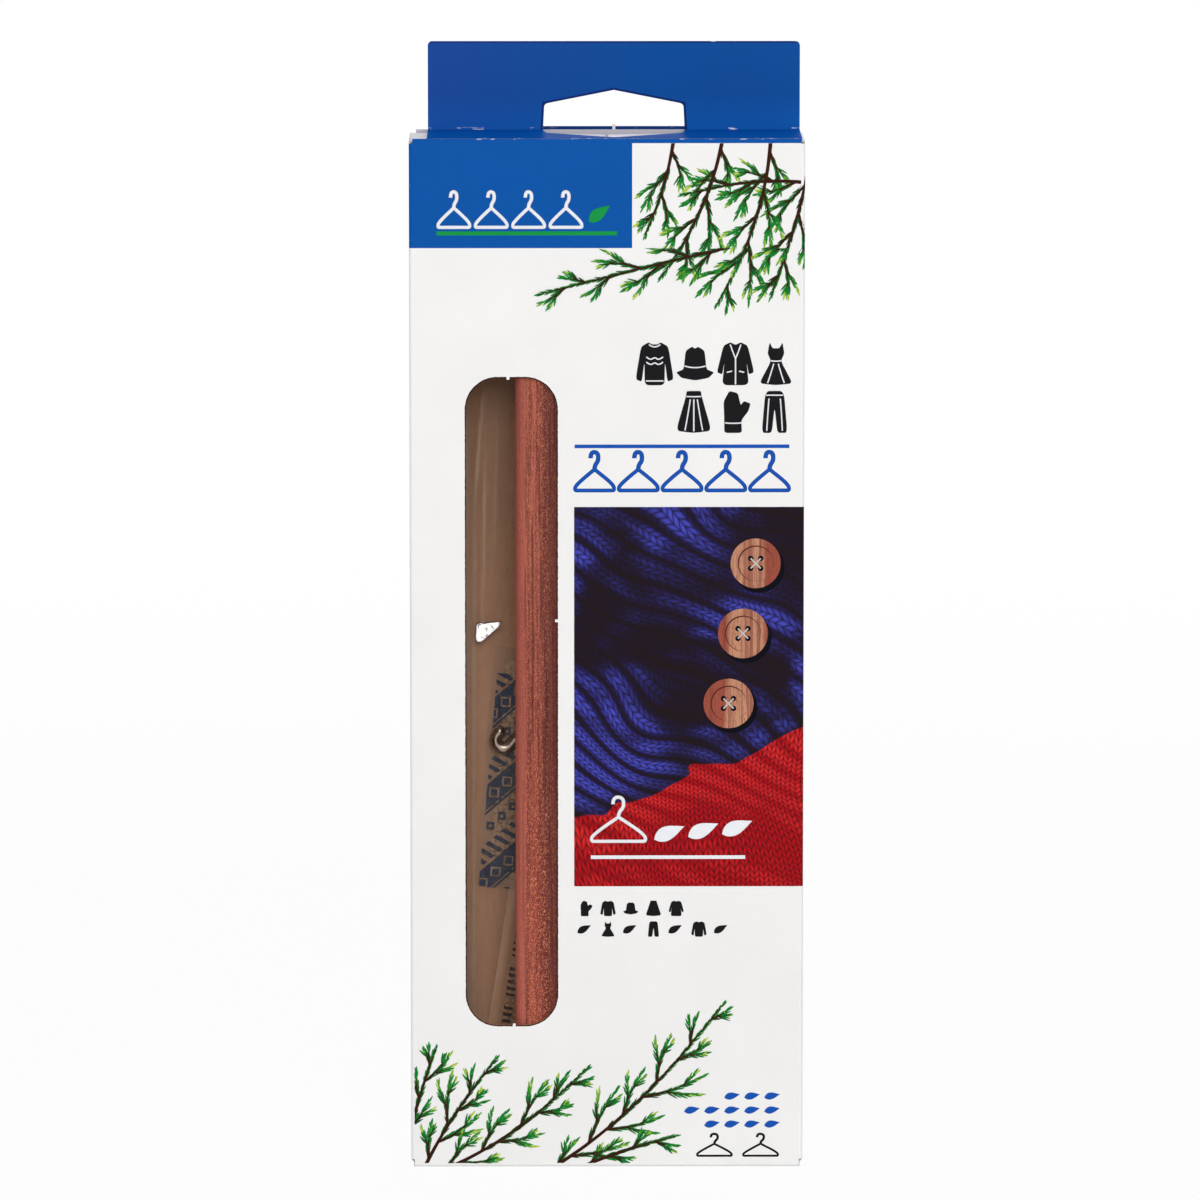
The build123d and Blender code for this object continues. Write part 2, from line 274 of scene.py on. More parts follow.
def hue(red, green, blue):  # a colour on the usual 0 to 255 scale, as the shader wants it
    def linear(value):
        share = value / 255
        return share / 12.92 if share <= 0.04045 else ((share + 0.055) / 1.055) ** 2.4
    return (linear(red), linear(green), linear(blue), 1.0)


def paint(node, **values):
    for key, value in values.items():
        feed(node.inputs[key.replace("_", " ")], value)


def newMaterial(name, **values):
    material = bpy.data.materials.new(name)
    material.use_nodes = True
    shader = material.node_tree.nodes["Principled BSDF"]
    paint(shader, **values)
    return material, material.node_tree, shader


def newGroup(name, inputs, outputs):
    tree = bpy.data.node_groups.new(name, "ShaderNodeTree")
    for label, kind, value in inputs:
        socket = tree.interface.new_socket(label, in_out="INPUT", socket_type=kind)
        if value is not None:
            socket.default_value = value
    for label, kind in outputs:
        tree.interface.new_socket(label, in_out="OUTPUT", socket_type=kind)
    return tree, put(tree, "NodeGroupInput").outputs, put(tree, "NodeGroupOutput").inputs


def useGroup(group, **values):
    node = putBeside(values.values(), "ShaderNodeGroup", node_tree=group)
    paint(node, **values)
    return node.outputs


vectorKind = "NodeSocketVector"
numberKind = "NodeSocketFloat"
colourKind = "NodeSocketColor"
surfaceKinds = [("Colour", colourKind), ("Roughness", numberKind), ("Height", numberKind)]


# Stage: pale floor, soft lamps and the camera

stage = {
    "floorSize": 16.0,
    "floorColour": (0.9, 0.9, 0.9, 1),
    "floorGlow": (0.94, 1.0),  # near the carton, where its shadow falls, and far from it
    "floorReach": (0.35, 1.1),
    "worldGrey": (0.36, 0.36, 0.37, 1),
    "worldInGloss": 0.4,
    "cameraPlace": (-0.01389, -2.1246, 0.41568),
    "cameraTilt": 90 - 7.736,
    "cameraTurn": -0.335,
    "cameraLens": 286.38,
    "lamps": [  # name, place, size, watts
        ("frontLamp", (0.22, -2.95, 1.1), 1.4, 33.0),
        ("leftLamp", (-1.35, -1.35, 0.55), 0.8, 5.0),
        ("rightLamp", (1.25, -1.45, 0.5), 0.8, 6.0),
        ("topLamp", (0.0, 0.25, 1.5), 0.8, 2.1),
        ("backLamp", (0.4, 1.8, 0.9), 1.0, 7.0),
    ],
    "lampAim": Vector((0, 0, 0.12)),
}


def raysSeen(tree, inGloss):  # 1 for the rays that see a thing itself, in a mirror or through film
    rays = put(tree, "ShaderNodeLightPath").outputs
    return larger(rays["Is Camera Ray"], times(rays["Is Glossy Ray"], inGloss), rays["Is Transmission Ray"])


def makeStage():
    bpy.ops.mesh.primitive_plane_add(size=stage["floorSize"], location=(0, 0, 0))
    floor = bpy.context.active_object
    floor.name = "floor"
    material, tree, shader = newMaterial("paleFloor", Base_Color=stage["floorColour"], Roughness=0.9)
    away = vectorNode(placeOn(tree), "LENGTH", (0, 0, 0))["Value"]
    share = fitted(away, *stage["floorReach"], *stage["floorGlow"])
    blended(tree, times(raysSeen(tree, 1.0), share), shader, put(tree, "ShaderNodeEmission"))
    floor.data.materials.append(material)

    world = bpy.data.worlds.new("studio")
    bpy.context.scene.world = world
    world.use_nodes = True
    seen = raysSeen(world.node_tree, stage["worldInGloss"])
    paint(world.node_tree.nodes["Background"], Color=mixed(seen, stage["worldGrey"], (1, 1, 1, 1)))

    for name, place, size, watts in stage["lamps"]:
        bpy.ops.object.light_add(type="AREA", location=place)
        lamp = bpy.context.active_object
        lamp.name = name
        lamp.data.size = size
        lamp.data.energy = watts
        lamp.rotation_euler = (stage["lampAim"] - lamp.location).to_track_quat("-Z", "Y").to_euler()

    turn = (math.radians(stage["cameraTilt"]), 0, math.radians(stage["cameraTurn"]))
    bpy.ops.object.camera_add(location=stage["cameraPlace"], rotation=turn)
    camera = bpy.context.active_object
    camera.data.lens = stage["cameraLens"]
    camera.data.clip_end = 50
    bpy.context.scene.camera = camera
    bpy.context.scene.view_settings.view_transform = "Standard"


makeStage()
print("stage ready")


# Shared effects

def makeCoatedShell():
    # White where a place lies in the outermost skin of the folded carton, black in the board and inside
    tree, inside, outside = newGroup("coatedShell", [
        ("Vector", vectorKind, None), ("Half Width", numberKind, 0.044), ("Half Depth", numberKind, 0.0125),
        ("Crease", numberKind, 0.0008), ("Coat", numberKind, 0.00006)], [("Mask", numberKind)])
    place = parts(inside["Vector"])
    overs = [minus(absolute(place[axis]), minus(inside[half], inside["Crease"]))
             for axis, half in (("X", "Half Width"), ("Y", "Half Depth"))]
    reach = roundedReach([*overs, minus(inside["Crease"], place["Z"])])
    feed(outside["Mask"], above(reach, minus(inside["Crease"], inside["Coat"])))
    return tree


def makeBoardPaper():
    # Coated and printed outside over grey-brown kraft, with the fibres of each
    tree, inside, outside = newGroup("boardPaper", [
        ("Vector", vectorKind, None), ("Ink", colourKind, (0.87, 0.86, 0.85, 1)),
        ("Printed", numberKind, 1.0), ("Wear", numberKind, 0.0), ("Pale", numberKind, 0.0)], surfaceKinds)
    vector = inside["Vector"]
    fibres = cloudy(vector, 900.0, 3.0, 0.6, squash=0.35)
    mottle = cloudy(vector, 60.0, 3.0)
    specks = fitted(cloudy(vector, 2600.0, 1.0), 0.66, 0.74)
    kraft = mixed(fibres, boardLook["kraftDark"], boardLook["kraftLight"])
    kraft = mixed(times(specks, 0.45), kraft, boardLook["kraftSpeck"])
    # Painted shade: the kraft is painted a little darker towards the carton's top
    topShade = fitted(parts(vector)["Z"], *boardLook["topShadeHeights"], 1.0, boardLook["kraftTopShade"])
    kraft = mixed(1.0, kraft, topShade, "MULTIPLY")
    kraft = mixed(inside["Pale"], kraft, boardLook["clay"])
    shade = fitted(mottle, 0.3, 0.7, 0.975, 1.01, False)
    coat = mixed(1.0, inside["Ink"], shade, "MULTIPLY")
    rubbed = mixed(inside["Wear"], coat, boardLook["rubbed"])
    feed(outside["Colour"], mixed(inside["Printed"], kraft, rubbed))
    gloss = fitted(mottle, 0.3, 0.7, *boardLook["coatRoughness"])
    smooth = times(plus(gloss, times(inside["Wear"], 0.3)), inside["Printed"])
    rough = times(minus(1.0, inside["Printed"]), boardLook["kraftRoughness"])
    feed(outside["Roughness"], plus(smooth, rough))
    feed(outside["Height"], times(fibres, minus(1.0, times(inside["Printed"], 0.8))))
    return tree


boardLook = {
    "kraftDark": hue(180, 136, 106),
    "kraftLight": hue(202, 158, 126),
    "kraftSpeck": hue(120, 82, 58),
    # painted shade: how dark the kraft is painted at the top, and the heights over which it darkens
    "kraftTopShade": 0.77,
    "topShadeHeights": (105 * mm, 172 * mm),
    # painted shade darkens the brown cut edge round the window
    "cutEdgeAndShade": hue(62, 33, 19),
    "navyStrip": hue(4, 52, 124),
    "windowMiddle": (-21.3 * mm, 105.5 * mm),
    "windowHalf": (10.1 * mm, 73.1 * mm),
    "windowCorner": 7.0 * mm,
    "cutWidth": (0.2464 * mm, 0.3136 * mm),  # the least and the most, as the cut is ragged
    "nicks": [  # the axis along the edge, the nick's middle on it, and the range on the other axis
        ("X", -22.03 * mm, "Z", 176 * mm, 182 * mm),
        ("X", -20.8 * mm, "Z", 30 * mm, 35 * mm),
        ("Z", 124.07 * mm, "X", -14 * mm, -9 * mm)],
    "nickHalf": 0.32 * mm,
    "rubbed": hue(228, 232, 240),
    "clay": hue(206, 204, 214),
    "white": hue(241, 240, 238),
    "blue": hue(0, 82, 163),
    "tinge": hue(40, 58, 146),
    # Painted light and shade: the one blue ink is painted lighter on the lid and darker on the header than on
    # the front
    "litLidBlue": hue(8, 90, 182),
    "shadedHeaderBlue": hue(0, 74, 150),
    # painted light: the brighter blue near the header's foot
    "headerLitBlue": hue(0, 98, 186),
    "headerLine": hue(0, 22, 92),
    # painted shade: the dust flaps' white tops are painted greyer and bluer than the white board
    "dustTop": hue(232, 230, 240),
    "coatRoughness": (0.38, 0.47),
    "kraftRoughness": 0.85,
    "blueFoot": 207.66 * mm,
    "blueSide": 5.6 * mm,
    "stripFoot": 231.03 * mm,
}
coatedShell = makeCoatedShell()
boardPaper = makeBoardPaper()


def flecks(place, distance, reach, scale=420.0, level=0.6):
    # Worn flecks of bare paper, thickest on a fold
    near = fitted(absolute(distance), 0.0, reach, 1.0, 0.0)
    patches = cloudy(stretched(place, (1.0, 3.0, 3.0)), scale, 4.0)
    return times(near, fitted(patches, level, level + 0.08))


def endRims(foot, top):  # the board's cut edges near the carton's two ends are paler than its inside
    def mask(place):
        height = parts(place)["Z"]
        return larger(above(height, top * mm), below(height, foot * mm))
    return mask


def boardMaterial(name, printed, ink, wear, pale=endRims(2.2, cartonTop - 2.2), bend=1.16):
    # printed, ink, wear and pale are small functions of the place on the board
    material, tree, shader = newMaterial(name, IOR=bend)
    place = placeOn(tree)
    looks = useGroup(boardPaper, Vector=place, Printed=printed(place), Ink=ink(place), Wear=wear(place),
                     Pale=pale(place))
    paint(shader, Base_Color=looks["Colour"], Roughness=looks["Roughness"],
          Normal=bumped(looks["Height"], 0.35, 0.00004))
    return material


def shellPrint(halfWidth):
    def mask(place):
        return useGroup(coatedShell, Vector=place, Half_Width=halfWidth * mm,
                        Half_Depth=cartonHalfDepth * mm)["Mask"]
    return mask


def facePrint(direction, level):  # the coated side of a flat panel faces that direction
    def mask(place):
        return above(along(place, direction), level)
    return mask


def plainInk(colour):
    def ink(place):
        return mixed(cloudy(place, 25.0, 1.0), colour, [part * 1.05 for part in colour[:3]] + [1.0])
    return ink


def bandedInk(place):  # blue from the band's foot up
    band = above(parts(place)["Z"], boardLook["blueFoot"])
    return mixed(band, boardLook["white"], boardLook["blue"])


def windowEdge(place):  # how far a place on the front lies outside the window
    axes = parts(place)
    corner = boardLook["windowCorner"]
    overs = [minus(absolute(minus(axes[axis], middle)), half - corner)
             for axis, middle, half in zip("XZ", boardLook["windowMiddle"], boardLook["windowHalf"])]
    return minus(roundedReach(overs), corner)


def frontInk(place):  # blue block at the upper left and a thin strip on to the right
    axes = parts(place)
    block = times(above(axes["Z"], boardLook["blueFoot"]), below(axes["X"], boardLook["blueSide"]))
    blue = larger(block, above(axes["Z"], boardLook["stripFoot"]))
    ink = mixed(blue, boardLook["white"], boardLook["blue"])
    # The window's cut edge is painted as a dark line, the brown of the cut board darkened with painted shade,
    # but for the small nicks that the die leaves
    cut = below(windowEdge(place), fitted(cloudy(place, 1500.0, 2.0), 0.3, 0.7, *boardLook["cutWidth"]))
    for axis, middle, across, least, most in boardLook["nicks"]:
        near = below(absolute(minus(axes[axis], middle)), boardLook["nickHalf"])
        cut = times(cut, minus(1.0, times(between(axes[across], least, most), near)))
    return mixed(cut, ink, boardLook["cutEdgeAndShade"])


def cornerWear(place):
    axes = parts(place)
    halves = (("X", cartonHalfWidth), ("Y", cartonHalfDepth))
    corner = larger(*[minus(half * mm, absolute(axes[axis])) for axis, half in halves])
    side = flecks(place, corner, 0.5 * mm, 300.0, 0.62)
    return larger(side, flecks(place, minus(axes["Z"], cartonTop * mm), 0.25 * mm, 500.0, 0.58))


def headerWear(place):
    foot = minus(parts(place)["Z"], (cartonTop + 0.2) * mm)
    fold = minus(parts(place)["Z"], headerHigh.z * mm)
    low = flecks(place, foot, 0.45 * mm, 260.0, 0.58)
    return larger(low, flecks(place, fold, 0.3 * mm, 500.0, 0.66))


def lidWear(place):
    edge = minus(parts(place)["Y"], lidFront * mm)
    return flecks(place, edge, 0.5 * mm, 420.0, 0.58)


def noWear(place):
    return times(parts(place)["X"], 0.0)


def hingeRim(place):  # the dust flaps' creased ends, close to the carton's sides
    side = absolute(parts(place)["X"])
    return above(side, (cartonHalfWidth - 1.2) * mm)


lidFront = boxOf("lid_panel")[0].y
headerMiddle = boxOf("header_front_ply")[1].y  # where the header's two plies meet
tuckHinge = [joint for joint in frame["joints"] if joint["name"] == "tuck_fold"][0]["pos_m"]
tuckLean = math.radians(22)
holeLook = {
    "middle": 1.7,  # the hang hole's middle in X; its outline is measured from there and from the lid
    "reach": 15.97,
    "shoulderHalf": 15.6,
    "shoulder": 5.8,
    "apex": 8.9,
    "line": 0.5,
    "stripTop": 1.0,
    "whiteReach": 0.34,  # the strip's ink is broken by a white nick in its middle
}
headerLook = {
    "plyFace": 0.44,  # how far the printed faces lie from where the plies meet
    "foldDepth": 0.3,
    # height over which the painted light at the header's foot fades
    "litHeight": 9.0,
    "topLine": 0.4,
    "tingeFrom": 135 * mm,
    "tingeTo": 185 * mm,
}
printSkin = 0.06 * mm  # ink reaches this deep into a flat flap's edge


def fromHoleMiddle(place):
    return absolute(minus(parts(place)["X"], holeLook["middle"] * mm))


def inHoleStrip(place):  # the thin strip that closes the hang hole's foot
    low = below(parts(place)["Z"], (cartonTop + holeLook["stripTop"]) * mm)
    return times(below(fromHoleMiddle(place), holeLook["reach"] * mm), low)


def headerPrint(place):
    face = above(absolute(minus(parts(place)["Y"], headerMiddle * mm)), headerLook["plyFace"] * mm)
    fold = above(parts(place)["Z"], (headerHigh.z - headerLook["foldDepth"]) * mm)
    return larger(face, fold, inHoleStrip(place))


def holeLine(place):  # darker in a thin line round the hang hole's sides and roof
    across = fromHoleMiddle(place)
    rise = minus(parts(place)["Z"], cartonTop * mm)
    lean = (holeLook["reach"] - holeLook["shoulderHalf"]) / holeLook["shoulder"]
    side = plus(minus(across, holeLook["reach"] * mm), times(rise, lean))
    pitch = (holeLook["apex"] - holeLook["shoulder"]) / holeLook["shoulderHalf"]
    roof = plus(minus(rise, holeLook["apex"] * mm), times(across, pitch))
    return below(larger(side, roof), holeLook["line"] * mm)


def headerInk(place):
    height = parts(place)["Z"]
    # Painted light: the header's blue is painted brighter near its foot, fading over its lowest few
    # millimetres
    glow = fitted(height, cartonTop * mm, (cartonTop + headerLook["litHeight"]) * mm, 0.55, 0.0)
    blue = mixed(glow, plainInk(boardLook["shadedHeaderBlue"])(place), boardLook["headerLitBlue"])
    topLine = above(height, (headerHigh.z - headerLook["topLine"]) * mm)
    for line in (times(topLine, 0.7), times(holeLine(place), 0.85)):
        blue = mixed(line, blue, boardLook["headerLine"])
    corner = along(place, (-0.8, 0.0, 0.6))
    tinge = fitted(corner, headerLook["tingeFrom"], headerLook["tingeTo"], 0.0, 0.3)
    blue = mixed(tinge, blue, boardLook["tinge"])
    nick = below(fromHoleMiddle(place), holeLook["whiteReach"] * mm)
    return mixed(inHoleStrip(place), blue, mixed(nick, boardLook["navyStrip"], boardLook["white"]))


def lidPrint(place):  # coated on top and round its front crease
    axes = parts(place)
    top = above(axes["Z"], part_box("lid_panel")[1].z - printSkin)
    crease = below(axes["Y"], (lidFront + 0.3) * mm)
    return larger(top, times(crease, above(axes["Z"], tuckHinge[2] - 0.1 * mm)))


def frontPrint(place):  # coated outside, and the ink runs over the upper edge
    top = above(parts(place)["Z"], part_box("front_panel")[1].z - 0.1 * mm)
    return larger(shellPrint(cartonHalfWidth)(place), top)


def dressBoard():
    shell = shellPrint(cartonHalfWidth)
    white, blue, litLidBlue, shadedDust = [plainInk(boardLook[key]) for key in ("white", "blue", "litLidBlue", "dustTop")]
    outward = (0, -math.cos(tuckLean), -math.sin(tuckLean))
    tuckFace = sum(a * b for a, b in zip(outward, tuckHinge)) + 0.2 * mm
    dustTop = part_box("dust_flap_left")[1].z - printSkin
    down = (0, 0, -1)
    for materialName, names, looks in [
            ("frontBoard", ["front_panel"], (frontPrint, frontInk, cornerWear)),
            ("bandedBoard", ["left_side_panel"], (shell, bandedInk, cornerWear)),
            ("rearBoard", ["back_panel"], (shell, bandedInk, cornerWear, endRims(2.2, cartonTop - 3.4))),
            ("whiteBoard", ["right_side_panel"], (shell, white, cornerWear)),
            ("glueFlapBoard", ["glue_flap"], (shellPrint(cartonHalfWidth - 0.5), bandedInk, noWear)),
            ("headerBoard", ["header_front_ply", "header_back_ply"], (headerPrint, headerInk, headerWear)),
            ("lidBoard", ["lid_panel"], (lidPrint, litLidBlue, lidWear, noWear, 1.02)),
            ("tuckBoard", ["tuck_flap"], (facePrint(outward, tuckFace), blue, noWear, noWear)),
            ("dustFlapBoard", ["dust_flap_left", "dust_flap_right"],
             (facePrint((0, 0, 1), dustTop), shadedDust, noWear, hingeRim)),
            ("footBoard", ["bottom_outer_flap"], (facePrint(down, -printSkin), white, noWear)),
            ("kraftBoard", ["bottom_inner_flap", "bottom_dust_flap_left", "bottom_dust_flap_right"],
             (facePrint(down, 1.0), white, noWear))]:
        material = boardMaterial(materialName, *looks)
        for name in names:
            dressNode(name, material)


dressBoard()
print("board dressed")


# Cedar

cedarLook = {
    "pale": hue(168, 88, 70),
    "red": hue(140, 62, 48),
    "deep": hue(84, 30, 24),
    "purple": hue(90, 38, 33),
    "orange": hue(214, 126, 94),
    "cream": hue(222, 184, 146),
    "pore": hue(66, 24, 22),
    # painted highlight: the lighter colour of the block's eased left edge
    "easedEdgeHighlight": hue(180, 98, 86),
    "ringPitch": 1.5 * mm,
    "heart": (0.062, 0.055),  # the tree's middle, in X and Y, off the block's right
    "roughness": (0.42, 0.64),
    # Ranges over which a part of the figure comes in or fades out, along X unless it says otherwise
    "purpleIn": (-16.0 * mm, -13.6 * mm),
    "purpleOut": (9 * mm, 2 * mm),
    "sapwoodIn": (27 * mm, 28.4 * mm),
    "sapwoodOut": (36 * mm, 34.5 * mm),
    "glowOut": (-13.8 * mm, -12.6 * mm),
    "edgeHighlightIn": (-17.6 * mm, -19.2 * mm),
    "paleHeights": (105 * mm, 60 * mm),
    "sawnEnd": 0.3 * mm,  # how deep the darker ends look
    "swayWidth": 7.0 * mm,
}


def makeCedarGrain():
    tree, inside, outside = newGroup("cedarGrain", [("Vector", vectorKind, None), ("Shift", numberKind, 0.0)],
                                     surfaceKinds)
    vector = inside["Vector"]
    axes = parts(vector)
    sway = cloudy(vector, 42.0, 2.0, 0.3, squash=0.12)
    sway = times(minus(sway, 0.5), cedarLook["swayWidth"])
    squares = [raised(minus(axes[axis], heart), 2.0) for axis, heart in zip("XY", cedarLook["heart"])]
    radius = plus(squareRoot(plus(*squares)), sway, inside["Shift"])
    ring = fraction(divided(radius, cedarLook["ringPitch"]))
    lateWood = times(fitted(ring, 0.55, 0.95), fitted(ring, 0.995, 0.96))
    bands = cloudy(vector, 190.0, 3.0, squash=0.05)
    fibres = cloudy(vector, 3000.0, 4.0, squash=0.03)
    flakes = cloudy(vector, 6200.0, 2.0, squash=0.5)
    dashes = cloudy(vector, 5200.0, 2.0, squash=0.16)
    pores = fitted(cloudy(vector, 1300.0, 1.0, squash=0.02), 0.6, 0.7)
    side = plus(axes["X"], times(sway, 0.2))
    # A darker, more purple run of heartwood lies right of the window's middle
    purple = times(fitted(side, *cedarLook["purpleIn"]),
                   fitted(side, *cedarLook["purpleOut"], 0.2, 0.85))
    sapwood = times(fitted(plus(axes["X"], times(sway, 1.6)), *cedarLook["sapwoodIn"]),
                    fitted(axes["X"], *cedarLook["sapwoodOut"]))
    # Orange flecks, more of them on the window's left: partly the wood's figure, partly painted highlight
    glow = times(fitted(flakes, 0.52, 0.66), 0.85, fitted(bands, 0.35, 0.6, 1.0, 0.7),
                 fitted(side, *cedarLook["glowOut"], 1.0, 0.4))
    # Painted highlight: the block's eased left edge is painted lighter, where its rounding catches the light,
    # and its texture is fainter
    edgeHighlight = fitted(side, *cedarLook["edgeHighlightIn"], 0.0, 0.5)
    colour = mixed(fitted(bands, 0.34, 0.66), cedarLook["red"], cedarLook["pale"])
    for share, name in [
            (purple, "purple"), (times(sapwood, 0.8), "cream"), (times(lateWood, 0.5), "deep"),
            (fitted(fibres, 0.42, 0.72, 0.0, 0.6), "deep"), (glow, "orange"),
            (times(fitted(dashes, 0.54, 0.66), 0.6), "pore"), (times(pores, 0.6), "pore"),
            (edgeHighlight, "easedEdgeHighlight")]:
        colour = mixed(share, colour, cedarLook[name])
    # The wood grows paler towards the block's foot
    colour = mixed(1.0, colour, fitted(axes["Z"], *cedarLook["paleHeights"], 1.0, 1.16), "MULTIPLY")
    feed(outside["Colour"], colour)
    feed(outside["Roughness"], fitted(fibres, 0.3, 0.7, *cedarLook["roughness"]))
    feed(outside["Height"], minus(times(fibres, 0.6), times(pores, 0.8), times(lateWood, 0.2)))
    return tree


cedarGrain = makeCedarGrain()


def dressCedar():
    material, tree, shader = newMaterial("cedarWood", IOR=1.28)
    place = placeOn(tree)
    looks = useGroup(cedarGrain, Vector=place)
    # Sawn ends are darker and rougher than the planed faces
    low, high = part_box("cedar_block")
    height = parts(place)["Z"]
    depth = cedarLook["sawnEnd"]
    ends = larger(above(height, high.z - depth), below(height, low.z + depth))
    saw = put(tree, "ShaderNodeTexWave", wave_type="BANDS", bands_direction="X")
    paint(saw, Vector=place, Scale=260.0, Distortion=3.0)
    rows = times(saw.outputs["Fac"], ends, 0.5)
    paint(shader, Base_Color=mixed(times(ends, 0.45), looks["Colour"], cedarLook["deep"]),
          Roughness=plus(looks["Roughness"], times(ends, 0.2)),
          Normal=bumped(plus(looks["Height"], rows), 0.7, 0.00012))
    dressNode("cedar_block", material)


dressCedar()
print("cedar dressed")


# Prints on the carton: thin layers of ink that lie on the board

inkLayer = {
    "lift": 0.015,  # how far the first layer stands off the board, in millimetres
    "thickness": 0.03,
    "flatEnd": cartonHalfWidth - 0.8,  # where the front turns into its crease
    "creaseRadius": 0.8,
}


def inkRelief(place):
    return bumped(cloudy(place, 900.0, 3.0), 0.2, 0.00003)


def inkMaterial(name, colour):
    material, tree, shader = newMaterial(name, IOR=1.23, Specular_IOR_Level=0.2)
    place = placeOn(tree)
    shade = cloudy(place, 500.0, 2.0)
    darker = [part * 0.9 for part in colour[:3]] + [1.0]
    paint(shader, Base_Color=mixed(shade, darker, colour), Roughness=fitted(shade, 0.3, 0.7, 0.35, 0.48),
          Normal=inkRelief(place))
    return material


blackInk = inkMaterial("blackInk", hue(24, 22, 24))
blueInk = inkMaterial("blueInk", hue(24, 84, 178))
whiteInk = inkMaterial("whiteInk", hue(240, 242, 246))
greenInk = inkMaterial("greenInk", hue(22, 150, 70))


def wrapped(piece):  # lets a print run on round the front's right crease
    centreY = inkLayer["creaseRadius"] - cartonHalfDepth
    for vertex in piece.data.vertices:
        over = vertex.co.x / mm - inkLayer["flatEnd"]
        if over > 0:
            reach = centreY - vertex.co.y / mm
            turn = over / inkLayer["creaseRadius"]
            vertex.co.x = (inkLayer["flatEnd"] + reach * math.sin(turn)) * mm
            vertex.co.y = (centreY - reach * math.cos(turn)) * mm


def layerDepth(layer):  # from the carton's middle to the middle of a layer of ink, in millimetres
    return cartonHalfDepth + inkLayer["lift"] + inkLayer["thickness"] * (layer + 0.5)


def laid(piece, ink, layer, behind, tilt=0.0):  # lays a print on the front, or on the back if behind is set
    piece.rotation_euler = (tilt, 0, math.radians(180) if behind else 0)
    piece.location.y = layerDepth(layer) * (mm if behind else -mm)
    piece = asMesh(piece)
    settle(piece)
    dress(piece, ink, "carton")
    return piece


def flatPrint(name, outline, ink, layer=0, behind=False):  # a filled outline; its points are X and Z
    curve = newCurve(name, "POLY", [[(x, z, 0, 1) for x, z in outline]], True, dimensions="2D",
                     fill_mode="BOTH", extrude=inkLayer["thickness"] / 2 * mm)
    return laid(curve, ink, layer, behind, math.radians(90))


def strokePrint(name, runs, width, ink, layer=0, behind=False):
    # Drawn lines of one width; a run is a list of X and Z points, some with a share of the width
    runs = [[(x, 0, z, thin[0] if thin else 1.0) for x, z, *thin in run] for run in runs]
    curve = newCurve(name, "NURBS", runs, dimensions="3D", bevel_depth=width / 2 * mm, bevel_resolution=1,
                     use_fill_caps=True, resolution_u=6)
    curve.scale.y = inkLayer["thickness"] / width
    return laid(curve, ink, layer, behind)


def bar(left, foot, right, top):
    return [(left, foot), (right, foot), (right, top), (left, top)]


def hangerRuns(x, z, width, height):
    # A coat hanger: its bar and arms as one closed run, then its hook
    neck = (0.5, 0.55)
    arms = [neck, neck, (0.97, 0.16), (1, 0), (0.9, 0), (0.1, 0), (0, 0), (0.03, 0.16), neck]
    hook = [neck, (0.5, 0.65), (0.6, 0.78), (0.58, 1), (0.4, 1), (0.4, 0.84)]
    return [[(x + across * width, z + up * height) for across, up in run] for run in (arms, hook)]


def printHangers(name, row, ink):
    for count in range(row["count"]):
        runs = hangerRuns(row["left"] + count * row["pitch"], row["foot"], row["width"], row["height"])
        strokePrint(f"{name}{count + 1}", runs, row["stroke"], ink)


def softened(outline, share=0.22):  # rounds an outline's corners
    rounded = []
    for count, corner in enumerate(outline):
        before, after = Vector(outline[count - 1]), Vector(outline[(count + 1) % len(outline)])
        here = Vector(corner)
        start, end = here.lerp(before, share), here.lerp(after, share)
        for step in (0, 0.25, 0.5, 0.75, 1):
            rounded.append(tuple(start.lerp(here, step).lerp(here.lerp(end, step), step)))
    return rounded


def leafOutline():  # a pointed leaf, from its stalk to its tip along X
    steps = [step / 12 for step in range(13)]
    upper = [(step, 0.25 * math.sin(math.pi * step ** 0.8) * (1.1 - 0.35 * step)) for step in steps]
    lower = [(x, -0.85 * z) for x, z in reversed(upper[1:-1])]
    return upper + lower


